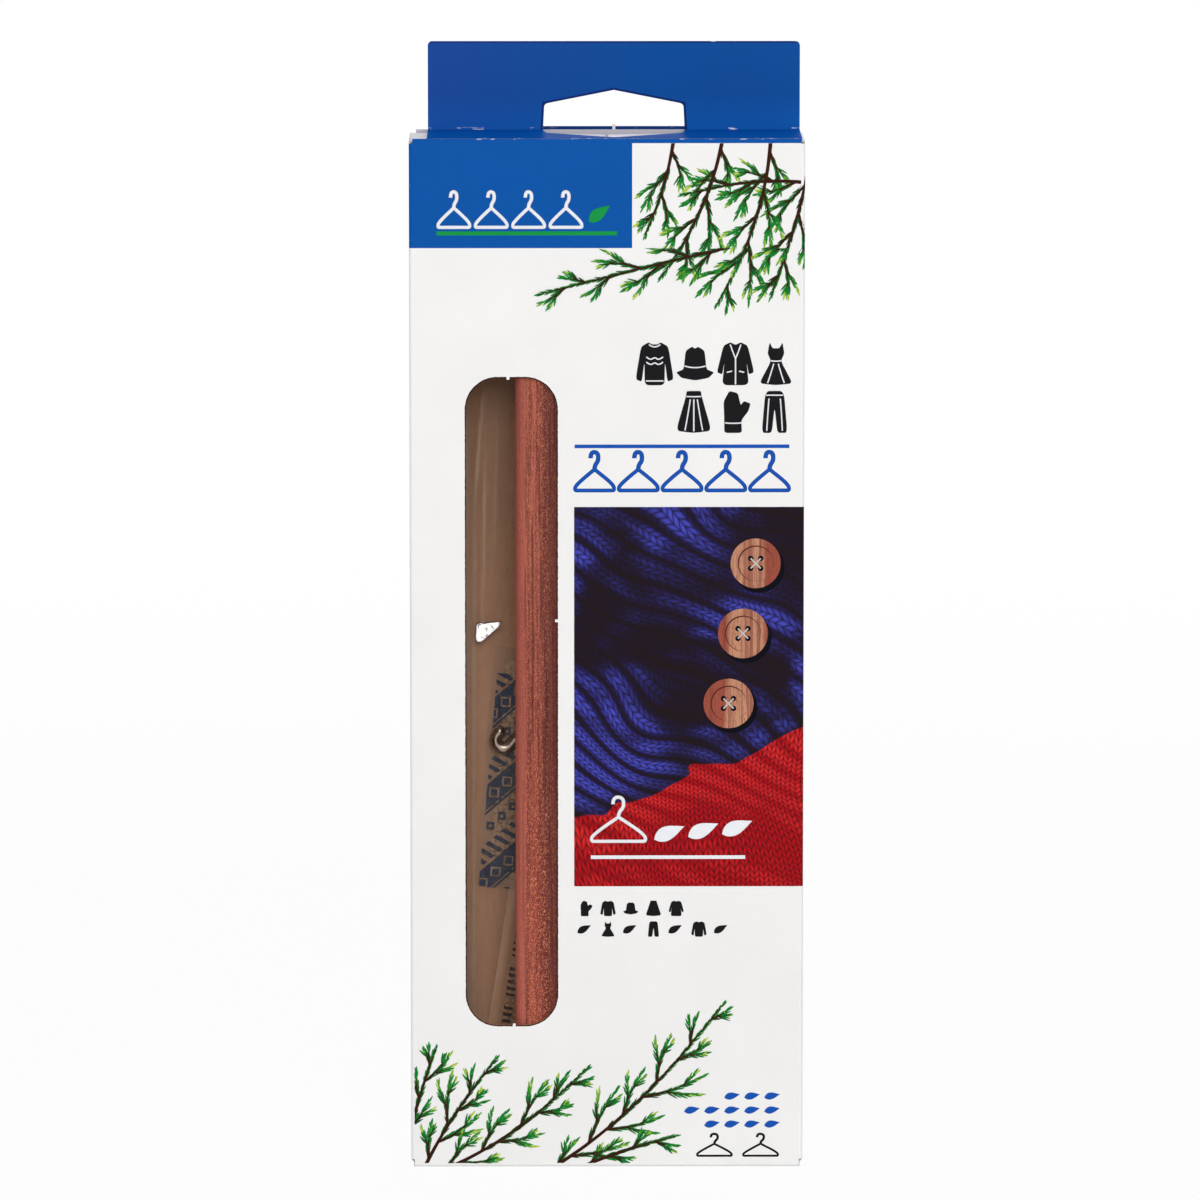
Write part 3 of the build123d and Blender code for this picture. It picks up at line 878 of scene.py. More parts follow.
garments = {  # outline and drawn details on a square of side 1, from the lower left
    "jumper": (
        [(0.34, 1), (0.43, 0.95), (0.57, 0.95), (0.66, 1), (0.86, 0.9), (1, 0.14), (0.84, 0.08),
         (0.77, 0.55), (0.76, 0), (0.24, 0), (0.23, 0.55), (0.16, 0.08), (0, 0.14), (0.14, 0.9)],
        [[(0.35, 0.95), (0.5, 0.84), (0.65, 0.95)], [(0.27, 0.1), (0.5, 0.1), (0.73, 0.1)],
         [(0.28, 0.66), (0.39, 0.58), (0.5, 0.66), (0.61, 0.58), (0.72, 0.66)], [(0.28, 0.54),
         (0.39, 0.46), (0.5, 0.54), (0.61, 0.46), (0.72, 0.54)]]),
    "trousers": (
        [(0.24, 1), (0.76, 1), (0.86, 0), (0.58, 0), (0.5, 0.62), (0.42, 0), (0.14, 0)],
        [[(0.26, 0.9), (0.5, 0.9), (0.74, 0.9)], [(0.34, 0.82), (0.3, 0.4), (0.28, 0.05)],
         [(0.66, 0.82), (0.7, 0.4), (0.72, 0.05)]]),
    "dress": (
        [(0.33, 1), (0.41, 0.86), (0.59, 0.86), (0.67, 1), (0.72, 0.74), (0.63, 0.56), (0.94, 0.04),
         (0.5, 0), (0.06, 0.04), (0.37, 0.56), (0.28, 0.74)],
        [[(0.36, 0.57), (0.5, 0.55), (0.64, 0.57)], [(0.44, 0.5), (0.36, 0.25), (0.28, 0.05)],
         [(0.56, 0.5), (0.64, 0.25), (0.72, 0.05)]]),
    "coat": (
        [(0.36, 1), (0.5, 0.94), (0.64, 1), (0.82, 0.92), (0.99, 0.3), (0.85, 0.25), (0.79, 0.55),
         (0.85, 0), (0.15, 0), (0.21, 0.55), (0.15, 0.25), (0.01, 0.3), (0.18, 0.92)],
        [[(0.36, 0.95), (0.44, 0.74), (0.5, 0.62)], [(0.64, 0.95), (0.56, 0.74), (0.5, 0.62)],
         [(0.5, 0.62), (0.5, 0.3), (0.5, 0.02)], [(0.27, 0.3), (0.33, 0.31), (0.41, 0.33)],
         [(0.73, 0.3), (0.67, 0.31), (0.59, 0.33)]]),
    "skirt": (
        [(0.3, 1), (0.7, 1), (0.72, 0.88), (1, 0.05), (0.5, 0), (0, 0.05), (0.28, 0.88)],
        [[(0.29, 0.87), (0.5, 0.86), (0.71, 0.87)], [(0.4, 0.8), (0.33, 0.4), (0.25, 0.06)],
         [(0.5, 0.8), (0.5, 0.4), (0.5, 0.04)], [(0.6, 0.8), (0.67, 0.4), (0.75, 0.06)]]),
    "hat": (
        [(0, 0.3), (0.2, 0.37), (0.25, 0.8), (0.42, 0.9), (0.5, 0.85), (0.58, 0.9), (0.75, 0.8),
         (0.8, 0.37), (1, 0.3), (0.86, 0.17), (0.5, 0.11), (0.14, 0.17)],
        [[(0.22, 0.45), (0.5, 0.37), (0.78, 0.45)]]),
    "mitten": (
        [(0.22, 0.3), (0.2, 0.75), (0.36, 1), (0.6, 0.95), (0.68, 0.66), (0.78, 0.76), (0.96, 0.7),
         (0.9, 0.52), (0.7, 0.3), (0.72, 0), (0.22, 0)],
        [[(0.24, 0.24), (0.46, 0.22), (0.7, 0.24)]]),
}


def placedRun(run, x, z, size, wide=1.0, turn=0.0):
    ahead, aside = math.cos(math.radians(turn)), math.sin(math.radians(turn))
    return [(x + (across * wide * ahead - up * aside) * size, z + (across * wide * aside + up * ahead) * size)
            for across, up in run]


def printGarment(name, kind, x, z, size, wide=1.0, behind=False, detail=True):
    outline, lines = garments[kind]
    flatPrint(name, placedRun(softened(outline), x, z, size, wide), blackInk, 0, behind)
    if detail:
        runs = [placedRun(line, x, z, size, wide) for line in lines]
        strokePrint(f"{name}Lines", runs, size * 0.036, whiteInk, 1, behind)


def printLeaf(name, x, z, size, turn, ink, layer=0):
    flatPrint(name, placedRun(leafOutline(), x, z, size, turn=turn), ink, layer)


titleRows = [  # kinds from left to right, first X, foot, height, share of width
    (["jumper", "hat", "coat", "dress"], 6.4, 177.0, 9.6, 0.88),
    (["skirt", "mitten", "trousers"], 15.4, 166.3, 9.4, 0.84),
]
titlePitch = 9.0
titleHangers = {
    "count": 5, "left": -7.2, "foot": 153.4, "width": 8.9,
    "height": 8.6, "pitch": 9.75, "stroke": 1.0,
}
titleRail = bar(-7.2, 162.9, 40.65, 163.7)
badgeHangers = {
    "count": 4, "left": -37.6, "foot": 212.3, "width": 7.2,
    "height": 7.9, "pitch": 8.3, "stroke": 0.85,
}
badgeLeaf = {"x": -4.0, "z": 213.5, "size": 6.0, "turn": 38}
badgeRule = bar(-37.9, 210.5, 2.3, 211.4)
captionRows = [
    (["mitten", "jumper", "hat", "skirt", "coat"], 57.2),
    (["leaf", "dress", "leaf", "trousers", "leaf", "jumper", "leaf"], 52.5),
]
captionLook = {"left": -6.6, "size": 3.5, "pitch": 5.1, "leafLift": 0.9, "leafTurn": 30}
cornerRows = [(3, 15.2), (5, 12.0), (4, 8.8)]  # leaves in each row and its foot
cornerLook = {"right": 35.4, "lift": 0.6, "size": 3.6, "pitch": 4.5, "turn": 12}
cornerHangers = {
    "count": 2, "left": 20.2, "foot": 2.5, "width": 8.0,
    "height": 5.0, "pitch": 10.4, "stroke": 0.55,
}


def makePictograms():
    for row, (kinds, left, foot, height, wide) in enumerate(titleRows, 1):
        for place, kind in enumerate(kinds):
            printGarment(f"titleRow{row}_{kind}", kind, left + place * titlePitch, foot, height, wide)
    printHangers("titleHanger", titleHangers, blueInk)
    flatPrint("titleRail", titleRail, blueInk)
    printHangers("badgeHanger", badgeHangers, whiteInk)
    printLeaf("badgeLeaf", **badgeLeaf, ink=greenInk)
    flatPrint("badgeRule", badgeRule, greenInk)
    for kinds, foot in captionRows:
        for place, kind in enumerate(kinds):
            name = f"caption{place + 1}_{kind}_{int(foot)}"
            x, size = captionLook["left"] + place * captionLook["pitch"], captionLook["size"]
            if kind == "leaf":
                printLeaf(name, x, foot + captionLook["leafLift"], size, captionLook["leafTurn"], blackInk)
            else:
                printGarment(name, kind, x, foot, size, detail=False)
    for count, foot in cornerRows:
        for place in range(count):
            x = cornerLook["right"] - place * cornerLook["pitch"]
            printLeaf(f"cornerLeaf{int(foot)}_{place + 1}", x, foot + cornerLook["lift"], cornerLook["size"],
                      cornerLook["turn"], blueInk)
    printHangers("cornerHanger", cornerHangers, blackInk)


makePictograms()
print("pictograms printed")


# Leafy sprays

sprayLook = {
    "needleLength": 2.4,
    "needleWidth": 0.56,
    "needleStep": 0.62,
    "needleTurn": 13,
    "twigStep": 5.2,
    "twigTurn": 27,
    "stemWidth": 0.8,
    "bareShare": 0.3,  # the needles on a frond's main stem start this far along it
    "forks": (0.38, 0.66),  # where a side twig branches again
    "forkTurn": 31,
    "shortestFork": 2.4,
    "seed": 7,
    "tones": [
        (0.12, hue(40, 24, 12)), (0.32, hue(16, 62, 22)), (0.56, hue(10, 112, 48)), (0.84, hue(34, 142, 44)),
        (1.0, hue(178, 204, 70))],
}
topFronds = [  # start, middle, tip on the face, and the length of the longest side twig
    ((15.0, 233.5), (14.0, 223.0), (8.5, 210.5), 8.5),
    ((26.0, 233.5), (23.5, 217.0), (12.0, 201.0), 12.5),
    ((36.5, 233.5), (36.0, 215.0), (24.5, 195.0), 13.0),
    ((46.0, 230.5), (42.5, 213.0), (36.5, 197.0), 11.5),
    ((46.5, 222.0), (33.0, 224.0), (17.0, 219.5), 10.0),
    ((46.0, 212.0), (20.0, 206.5), (-14.5, 197.5), 11.5),
]
bottomFronds = [
    ((-46.0, 1.0), (-42.5, 16.0), (-38.5, 27.0), 8.0),
    ((-42.0, -2.0), (-36.0, 11.0), (-25.0, 24.5), 9.5),
    ((-40.0, -2.0), (-22.0, 4.5), (-4.5, 22.5), 12.0),
    ((-15.0, -2.0), (6.0, 10.0), (26.0, 37.0), 13.0),
    ((-8.0, -1.0), (3.0, 4.0), (15.5, 7.0), 6.0),
]
backFronds = [
    ((45.0, -1.0), (33.0, 16.0), (14.0, 30.0), 11.0),
    ((38.0, -1.0), (22.0, 6.0), (2.0, 14.0), 9.0),
    ((45.0, 12.0), (38.0, 28.0), (34.0, 44.0), 9.0),
]


def makeLeafMaterial():
    material, tree, shader = newMaterial("leafInk", Roughness=0.42, IOR=1.33, Specular_IOR_Level=0.12)
    place = placeOn(tree)
    ramp = put(tree, "ShaderNodeValToRGB")
    feed(ramp.inputs[0], plus(attribute(tree, "tone"), times(cloudy(place, 700.0, 2.0), 0.2)))
    elements = ramp.color_ramp.elements
    elements.remove(elements[1])
    elements[0].position, elements[0].color = sprayLook["tones"][0]
    for position, colour in sprayLook["tones"][1:]:
        elements.new(position).color = colour
    paint(shader, Base_Color=ramp.outputs["Color"], Normal=inkRelief(place))
    return material


leafInk = makeLeafMaterial()
stemInk = inkMaterial("stemInk", hue(56, 26, 14))


def frondPoint(frond, share):
    start, middle, tip = (Vector(point) for point in frond[:3])
    return start * (1 - share) ** 2 + middle * 2 * share * (1 - share) + tip * share ** 2


def makeNeedle():  # one needle, its foot at the origin and its tip along X
    bpy.ops.mesh.primitive_circle_add(vertices=7, radius=0.5, fill_type="NGON", location=(0.5, 0, 0))
    needle = bpy.context.active_object
    settle(needle)
    for vertex in needle.data.vertices:
        vertex.co.y *= 1.2 - 0.7 * vertex.co.x
    return needle


def twigRun(foot, heading, turn, reach):  # a side twig that leaves its stem and bends back along it
    outward = Matrix.Rotation(turn, 2) @ heading
    bend = Matrix.Rotation(turn * 0.45, 2) @ heading
    middle = foot + outward * reach * 0.5
    return (foot, middle, middle + bend * reach * 0.5, reach)


def headingAt(run, share, ahead):
    return (frondPoint(run, share + ahead) - frondPoint(run, share)).normalized()


def needlesAlong(run, chance, share):
    # Needles lie close along a twig on both sides, shorter and paler towards its tip
    count = max(4, int(run[3] / sprayLook["needleStep"]))
    needles = []
    for place in range(count + 1):
        step = place / count
        spot = frondPoint(run, step)
        ahead = frondPoint(run, min(1.0, step + 0.05)) - frondPoint(run, max(0.0, step - 0.05))
        side = 0 if place == count else (1 if place % 2 else -1)
        turn = side * sprayLook["needleTurn"] * (0.6 + 0.8 * chance.random())
        angle = math.atan2(ahead.y, ahead.x) + math.radians(turn)
        size = sprayLook["needleLength"] * (1.05 - 0.35 * step) * (0.75 + 0.5 * chance.random())
        needles.append((spot, angle, size, share + 0.42 * step + 0.3 * (chance.random() - 0.5)))
    return needles


def growFrond(frond, chance):  # the runs of a frond's stem and twigs, and its needles
    start = Vector(frond[0])
    length = (Vector(frond[2]) - start).length
    runs = [[(*frondPoint(frond, share / 6), 1.3 - share / 6.4) for share in range(7)]]
    needles = [needle for needle in needlesAlong((*frond[:3], length), chance, 0.18)
               if (needle[0] - start).length > length * sprayLook["bareShare"]]
    twigCount = int(length / sprayLook["twigStep"])
    for twig in range(1, twigCount + 1):
        share = (twig - 0.35 + 0.3 * chance.random()) / (twigCount + 0.6)
        side = 1 if twig % 2 else -1
        reach = frond[3] * math.sin(math.pi * (0.22 + 0.68 * share)) * (0.7 + 0.5 * chance.random())
        turn = math.radians(side * (sprayLook["twigTurn"] + 12 * chance.random()))
        run = twigRun(frondPoint(frond, share), headingAt(frond, share, 0.02), turn, reach)
        runs.append([(*frondPoint(run, step / 5), 0.85 - step / 6) for step in range(5)])
        needles += needlesAlong(run, chance, 0.3)
        for fork in sprayLook["forks"]:
            if reach * (1 - fork) < sprayLook["shortestFork"]:
                continue
            turn = math.radians((side if fork < 0.5 else -side) * sprayLook["forkTurn"])
            forkReach = reach * (1 - fork) * 0.8
            branch = twigRun(frondPoint(run, fork), headingAt(run, fork, 0.05), turn, forkReach)
            runs.append([(*frondPoint(branch, step / 4), 0.6 - step / 6) for step in range(4)])
            needles += needlesAlong(branch, chance, 0.42)
    return runs, needles


def layNeedles(name, needles, layer, chance):
    template = makeNeedle()
    copies = []
    away = layerDepth(layer + 0.5)
    for count, (spot, angle, size, tone) in enumerate(needles):
        mesh = template.data.copy()
        width = sprayLook["needleWidth"] * (0.8 + 0.4 * chance.random())
        depth = away + 0.00004 * (count % 500)  # no two needles that cross lie at one depth
        for change in (Matrix.Diagonal((size, width, 1, 1)), Matrix.Rotation(angle, 4, "Z"),
                       Matrix.Translation((spot.x, spot.y, depth)), Matrix.Scale(mm, 4),
                       Matrix.Rotation(math.radians(90), 4, "X")):
            mesh.transform(change)
        withTone(mesh, "tone", [tone] * len(mesh.vertices))
        copies.append(newPiece(f"{name}Needle{count}", mesh))
    bpy.data.objects.remove(template)
    return joined(f"{name}Needles", copies)


def makeSpray(name, fronds, layer, cuts, behind=False):
    # Stems and side twigs are drawn lines; needles are copies of one needle
    chance = random.Random(sprayLook["seed"] + layer)
    stemRuns, needles = [], []
    for frond in fronds:
        moreRuns, moreNeedles = growFrond(frond, chance)
        stemRuns += moreRuns
        needles += moreNeedles
    needlePiece = layNeedles(name, needles, layer, chance)
    stemPiece = strokePrint(f"{name}Stems", stemRuns, sprayLook["stemWidth"], stemInk, layer + 1)
    for piece in (needlePiece, stemPiece):
        for point, normal in cuts:
            cutAway(piece, point, normal)
    withModifier(needlePiece, "SOLIDIFY", thickness=0.01 * mm, offset=-1)
    for piece in (needlePiece, stemPiece):
        if behind:
            piece.data.transform(Matrix.Rotation(math.radians(180), 4, "Z"))
        else:
            wrapped(piece)
    dress(needlePiece, leafInk, "carton")
    print(name, len(needles), "needles")


def cutAway(piece, point, normal):  # cuts a print off at an edge of the area that it fills
    openMesh(piece)
    bpy.ops.mesh.bisect(plane_co=[part * mm for part in point], plane_no=normal, clear_outer=True)
    closeMesh()


def makeSprays():
    edge = inkLayer["flatEnd"] + 1.0
    rightCut = ((edge, 0, 0), (1, 0, 0))
    makeSpray("topSpray", topFronds[:5], 0, [rightCut, ((0, 0, 231.0), (0, 0, 1)), ((5.7, 0, 0), (-1, 0, 0))])
    makeSpray("middleSpray", topFronds[5:], 3, [rightCut, ((0, 0, 207.6), (0, 0, 1))])
    leftCut = ((-inkLayer["flatEnd"], 0, 0), (-1, 0, 0))
    footCut = ((0, 0, 0.9), (0, 0, -1))
    makeSpray("bottomSpray", bottomFronds, 0, [rightCut, leftCut, footCut])
    flatRight = ((inkLayer["flatEnd"] - 0.6, 0, 0), (1, 0, 0))
    makeSpray("backSpray", backFronds, 0, [flatRight, leftCut, ((0, 0, 1.4), (0, 0, -1))], behind=True)


makeSprays()
print("sprays printed")


# Picture panel: two knitted cloths with wooden buttons

pictureLook = {
    "left": -7.32, "right": 44.1, "foot": 63.98, "top": 149.68,
    "navyDark": hue(26, 15, 16), "navy": hue(34, 28, 92), "navyLight": hue(70, 74, 186),
    "redDark": hue(84, 4, 10), "red": hue(176, 14, 24), "redLight": hue(220, 40, 42),
    "ribPitch": 5.1 * mm,
    "navyStitch": (2.3 * mm, 1.7 * mm),
    "redStitch": (1.9 * mm, 1.4 * mm),
    "redEdge": 84 * mm,
    "marksLayer": 2,
    "hanger": (-3.6, 74.2, 12.4, 10.0),
    "hangerStroke": 0.85,
    "rule": bar(-3.6, 70.2, 31.0, 71.0),
    "leaves": [(10.6, 74.6), (18.2, 75.2), (25.8, 75.8)],
    "leaf": (7.4, 24),  # size and turn
    "buttons": [(33.2, 137.0, 5.6), (30.4, 121.2, 5.6), (27.2, 105.4, 5.6)],
}


def makeKnitStitch():
    # Columns of V-shaped stitches in X and Z, from 0 in the gaps to 1 on the yarn
    tree, inside, outside = newGroup("knitStitch", [
        ("Vector", vectorKind, None), ("Width", numberKind, 0.002), ("Height", numberKind, 0.0015)],
        [("Yarn", numberKind)])
    axes = parts(inside["Vector"])
    column = fraction(divided(axes["X"], inside["Width"]))
    leg = times(absolute(minus(column, 0.5)), 2.0)
    rise = minus(divided(axes["Z"], inside["Height"]), times(leg, 0.9))
    row = sine(times(fraction(rise), math.pi))
    across = sine(times(leg, math.pi))
    across = raised(larger(across, 0.0), 0.5)
    feed(outside["Yarn"], times(across, fitted(row, 0.0, 0.9, 0.25, 1.0)))
    return tree


knitStitch = makeKnitStitch()


def makePictureMaterial():
    material, tree, shader = newMaterial("knitPicture", Roughness=0.34, IOR=1.33, Specular_IOR_Level=0.14)
    place = placeOn(tree)
    shift = vectorNode(cloudy(place, 26.0, 1.0, output="Color"), "SUBTRACT", (0.5, 0.5, 0.5))[0]
    draped = vectorNode(place, "ADD", stretched(shift, (0.022, 0.0, 0.03)))[0]
    rotation = put(tree, "ShaderNodeVectorRotate", rotation_type="Y_AXIS")
    paint(rotation, Vector=draped, Angle=math.radians(62))
    turned = rotation.outputs[0]
    navyYarn, redYarn = [
        useGroup(knitStitch, Vector=cloth, Width=pictureLook[key][0], Height=pictureLook[key][1])["Yarn"]
        for cloth, key in ((turned, "navyStitch"), (draped, "redStitch"))]
    folds = cloudy(place, 38.0, 2.0, 0.8, squash=1.6)
    lit = fitted(folds, 0.36, 0.66)
    # Ribs cross the navy cloth, dark in their grooves
    rise = divided(parts(turned)["X"], pictureLook["ribPitch"])
    rib = raised(sine(times(fraction(rise), math.pi)), 0.8)
    lit = times(lit, fitted(rib, 0.3, 1.0))
    navyYarn = times(navyYarn, fitted(rib, 0.0, 0.75, 0.12, 1.0))
    navy = mixed(navyYarn, pictureLook["navyDark"], mixed(lit, pictureLook["navy"], pictureLook["navyLight"]))
    navy = mixed(fitted(folds, 0.34, 0.62, 0.9, 0.0), navy, pictureLook["navyDark"])
    red = mixed(redYarn, pictureLook["redDark"], mixed(lit, pictureLook["red"], pictureLook["redLight"]))
    axes = parts(place)
    # The red cloth lies over the navy one along a slack line that falls to the left
    line = plus(minus(axes["Z"], times(axes["X"], 0.42)), times(minus(folds, 0.5), 0.02))
    edge = pictureLook["redEdge"]
    navy = mixed(fitted(line, edge, edge + 7 * mm, 0.8, 0.0), navy, pictureLook["navyDark"])
    paint(shader, Base_Color=mixed(fitted(line, edge + 0.4 * mm, edge), navy, red))
    return material


def makePicture():
    left, right, foot, top = [pictureLook[key] for key in ("left", "right", "foot", "top")]
    place = ((left + right) / 2, -layerDepth(0.5), (foot + top) / 2)
    plate = uprightSheet(160, 2, right - left, top - foot, place)
    plate.name = "printedPicture"
    wrapped(plate)
    withModifier(plate, "SOLIDIFY", thickness=inkLayer["thickness"] * mm, offset=-1)
    dress(plate, makePictureMaterial(), "carton")


def makeButtonMaterial():
    wood, tree, shader = newMaterial("printedButton", Roughness=0.34, IOR=1.33, Specular_IOR_Level=0.14)
    looks = useGroup(cedarGrain, Vector=stretched(placeOn(tree), (1.0, 1.0, 0.8)), Shift=0.004)
    paint(shader, Base_Color=mixed(0.45, looks["Colour"], cedarLook["pale"]))
    return wood


def disc(name, x, z, radius, ink, layer, sides=40):
    turns = [2 * math.pi * step / sides for step in range(sides)]
    outline = [(x + radius * math.cos(turn), z + radius * math.sin(turn)) for turn in turns]
    flatPrint(name, outline, ink, layer)


buttonLook = {
    "discs": [  # name, ink, shift in X and Z, share of the button's radius; each lies on the one before
        ("Shadow", "dark", 0.7, -0.9, 1.03),
        ("Rim", "wood", 0, 0, 1.0),
        ("Groove", "shade", 0, 0, 0.72),
        ("Face", "wood", 0.12, -0.12, 0.69),
    ],
    "holeSpread": 0.2,
    "holeRadius": 0.11,
    "threadWidth": 0.42,
}


def makeButtons():
    inks = {
        "wood": makeButtonMaterial(),
        "shade": inkMaterial("buttonShade", hue(96, 44, 36)),
        "thread": inkMaterial("buttonThread", hue(206, 196, 190)),
        "dark": inkMaterial("buttonShadow", hue(6, 6, 18)),
    }
    for count, (x, z, radius) in enumerate(pictureLook["buttons"], 1):
        name = f"button{count}"
        for layer, (part, ink, dx, dz, share) in enumerate(buttonLook["discs"], 1):
            disc(name + part, x + dx, z + dz, radius * share, inks[ink], layer)
        reach = radius * buttonLook["holeSpread"]
        corners = [(x + dx * reach, z + dz * reach) for dx, dz in ((-1, -1), (-1, 1), (1, -1), (1, 1))]
        for hole, spot in enumerate(corners, 1):
            disc(f"{name}Hole{hole}", *spot, radius * buttonLook["holeRadius"], inks["dark"], 5, 16)
        crossing = [[corners[0], corners[3]], [corners[1], corners[2]]]
        strokePrint(f"{name}Thread", crossing, buttonLook["threadWidth"], inks["thread"], 6)


def makePictureMarks():  # white line drawings low on the picture
    layer = pictureLook["marksLayer"]
    runs = hangerRuns(*pictureLook["hanger"])
    strokePrint("pictureHanger", runs, pictureLook["hangerStroke"], whiteInk, layer)
    for count, (x, z) in enumerate(pictureLook["leaves"], 1):
        printLeaf(f"pictureLeaf{count}", x, z, *pictureLook["leaf"], whiteInk, layer)
    flatPrint("pictureRule", pictureLook["rule"], whiteInk, layer)


makePicture()
makeButtons()
makePictureMarks()
print("picture printed")


# Back of the carton: a row of plain pictograms

backLook = {
    "kinds": ["coat", "dress", "jumper", "trousers"],
    "left": -26.0, "pitch": 13.6, "foot": 168.0, "height": 10.5, "wide": 0.9,
    "rules": [(25.0, 152.0), (16.0, 147.0), (7.0, 142.0)],  # each rule's right end and foot
    "ruleHeight": 0.7,
}


def makeBackPrint():
    left = backLook["left"]
    for place, kind in enumerate(backLook["kinds"]):
        printGarment(f"backRow_{kind}", kind, left + backLook["pitch"] * place, backLook["foot"],
                     backLook["height"], backLook["wide"], behind=True)
    for place, (right, foot) in enumerate(backLook["rules"], 1):
        outline = bar(left, foot, right, foot + backLook["ruleHeight"])
        flatPrint(f"backRule{place}", outline, blueInk, behind=True)


makeBackPrint()
print("back printed")


# Clear bag behind the block

bagLook = {
    "cells": (150, 200),
    "border": 2.2,
    "seal": 2.5,
    "pinch": [  # outline of the painted highlight on a fold of the film, in X and Z
        (-29.2, 120.5), (-28.4, 120.75), (-27.6, 120.5), (-26.6, 120.7), (-25.2, 120.85), (-24.0, 121.0),
        (-23.8, 120.6), (-24.6, 119.7), (-25.6, 118.8), (-26.6, 117.9), (-27.6, 117.0), (-28.4, 116.5),
        (-29.1, 116.6), (-29.4, 117.3), (-29.25, 118.9)],
    "emptyFrom": 112.0,  # above this height nothing lies in the bag
    "emptyFade": 22.0,
    "slack": 1.1,  # how far the empty film sinks in
    "milky": (128 * mm, 92 * mm),  # the film lies closer to the packets and looks milkier low down
    "folds": [  # two ends in X and Z, how far it stands out, and its width
        ((-27.6, 174.0), (-29.7, 148.0), 0.26, 0.34),
        ((-29.7, 148.0), (-29.9, 84.0), 0.22, 0.3),
        ((-29.9, 84.0), (-30.3, 24.0), 0.18, 0.32),
        ((-27.2, 162.0), (-28.0, 118.0), 0.18, 0.32),
        ((-24.4, 170.0), (-25.4, 134.0), 0.1, 0.35),
        ((-21.35, 57.2), (-26.6, 29.6), 0.14, 0.32),
    ],
}


def softStep(value, low, high):
    share = min(1.0, max(0.0, (value - low) / (high - low)))
    return share * share * (3 - 2 * share)


def foldHeight(x, z, fold):
    start, end, height, width = Vector(fold[0]), Vector(fold[1]), fold[2], fold[3]
    run = end - start
    share = max(0.0, min(1.0, (Vector((x, z)) - start).dot(run) / run.length_squared))
    away = (Vector((x, z)) - start - run * share).length
    swell = 0.25 + 0.75 * math.sin(math.pi * (0.08 + 0.84 * share))
    return height * math.exp(-((away / width) ** 2)) * swell


def filmPoint(x, z, side, low, high):  # a bag sheet's distance from the bag's middle, and how creased it is
    rim = min(x - low.x, high.x - x)
    end = min(z - low.z, high.z - z) - bagLook["seal"]
    full = math.sqrt(softStep(rim, 0, bagLook["border"])) * softStep(end, 0, bagLook["border"] * 0.7)
    empty = softStep(z, bagLook["emptyFrom"], bagLook["emptyFrom"] + bagLook["emptyFade"])
    slack = 0.5 + 0.5 * noise.noise(Vector((x / 9, z / 34, side * 3.0)))
    crinkle = noise.ridged_multi_fractal(Vector((x / 16, z / 40, side * 5.0)), 1.0, 2.0, 3, 1.0, 2.0)
    depth = (high.y - low.y) / 2 - 0.08 - bagLook["slack"] * empty * slack - 0.1 * slack
    ridge = 0
    if side < 0:
        depth -= 0.25 * softStep(-x, 21.5, 24.0)
        ridge = sum(foldHeight(x, z, fold) for fold in bagLook["folds"])
    depth += ridge + 0.05 * empty * crinkle
    ripple = 0.06 * noise.noise(Vector((x / 5, z / 5, 9))) * (1 - full)
    crease = max(0.0, ridge * 4.2) + (0.35 if rim < 0.6 or end < 0 else 0)
    return side * depth * full + ripple, min(1.0, crease)


def makeBag():
    low, high = boxOf("clear_bag")
    middle = (low + high) / 2
    sheets = []
    for side in (-1, 1):
        sheet = uprightSheet(*bagLook["cells"], high.x - low.x, high.z - low.z, middle, side > 0)
        creases = []
        for vertex in sheet.data.vertices:
            away, crease = filmPoint(vertex.co.x / mm, vertex.co.z / mm, side, low, high)
            vertex.co.y = (middle.y + away) * mm
            creases.append(crease)
        withTone(sheet.data, "crease", creases)
        sheets.append(sheet)
    bag = joined("filmBag", sheets)
    openMesh(bag)
    bpy.ops.mesh.remove_doubles(threshold=0.02 * mm)
    bpy.ops.mesh.normals_make_consistent(inside=False)
    closeMesh()
    bpy.ops.object.shade_smooth()
    return bag


def makeFilmMaterial():
    # Mostly clear, with soft reflections that gather at its folds; where it is creased it is painted whiter,
    # tan and more opaque, crease whitening with painted highlights along the folds
    colour = hue(236, 222, 204)
    material, tree, shader = newMaterial("bagFilm", Roughness=0.24, IOR=1.4)
    weight = put(tree, "ShaderNodeLayerWeight")
    paint(weight, Blend=0.35)
    place = placeOn(tree)
    cloud = fitted(cloudy(place, 160.0, 3.0, squash=0.2), 0.35, 0.75, 0.6, 1.6)
    haze = plus(fitted(parts(place)["Z"], *bagLook["milky"], 0.0, 0.03), 0.02)
    # crease whitening and painted highlight: the crease share makes the film tan and opaque
    crease = fitted(cloudy(place, 420.0, 3.0), 0.3, 0.7, 0.2, 0.42)
    crease = times(crease, attribute(tree, "crease"))
    share = times(plus(times(weight.outputs["Facing"], 0.55), haze), cloud)
    blended(tree, smaller(plus(share, crease), 1.0), put(tree, "ShaderNodeBsdfTransparent"), shader)
    paint(shader, Base_Color=mixed(crease, colour, hue(255, 204, 158)),
          Normal=bumped(cloudy(place, 240.0, 3.0), 0.3, 0.0002))
    return material


filmBag = makeBag()
dress(filmBag, makeFilmMaterial(), "hook_bag")
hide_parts("clear_bag")


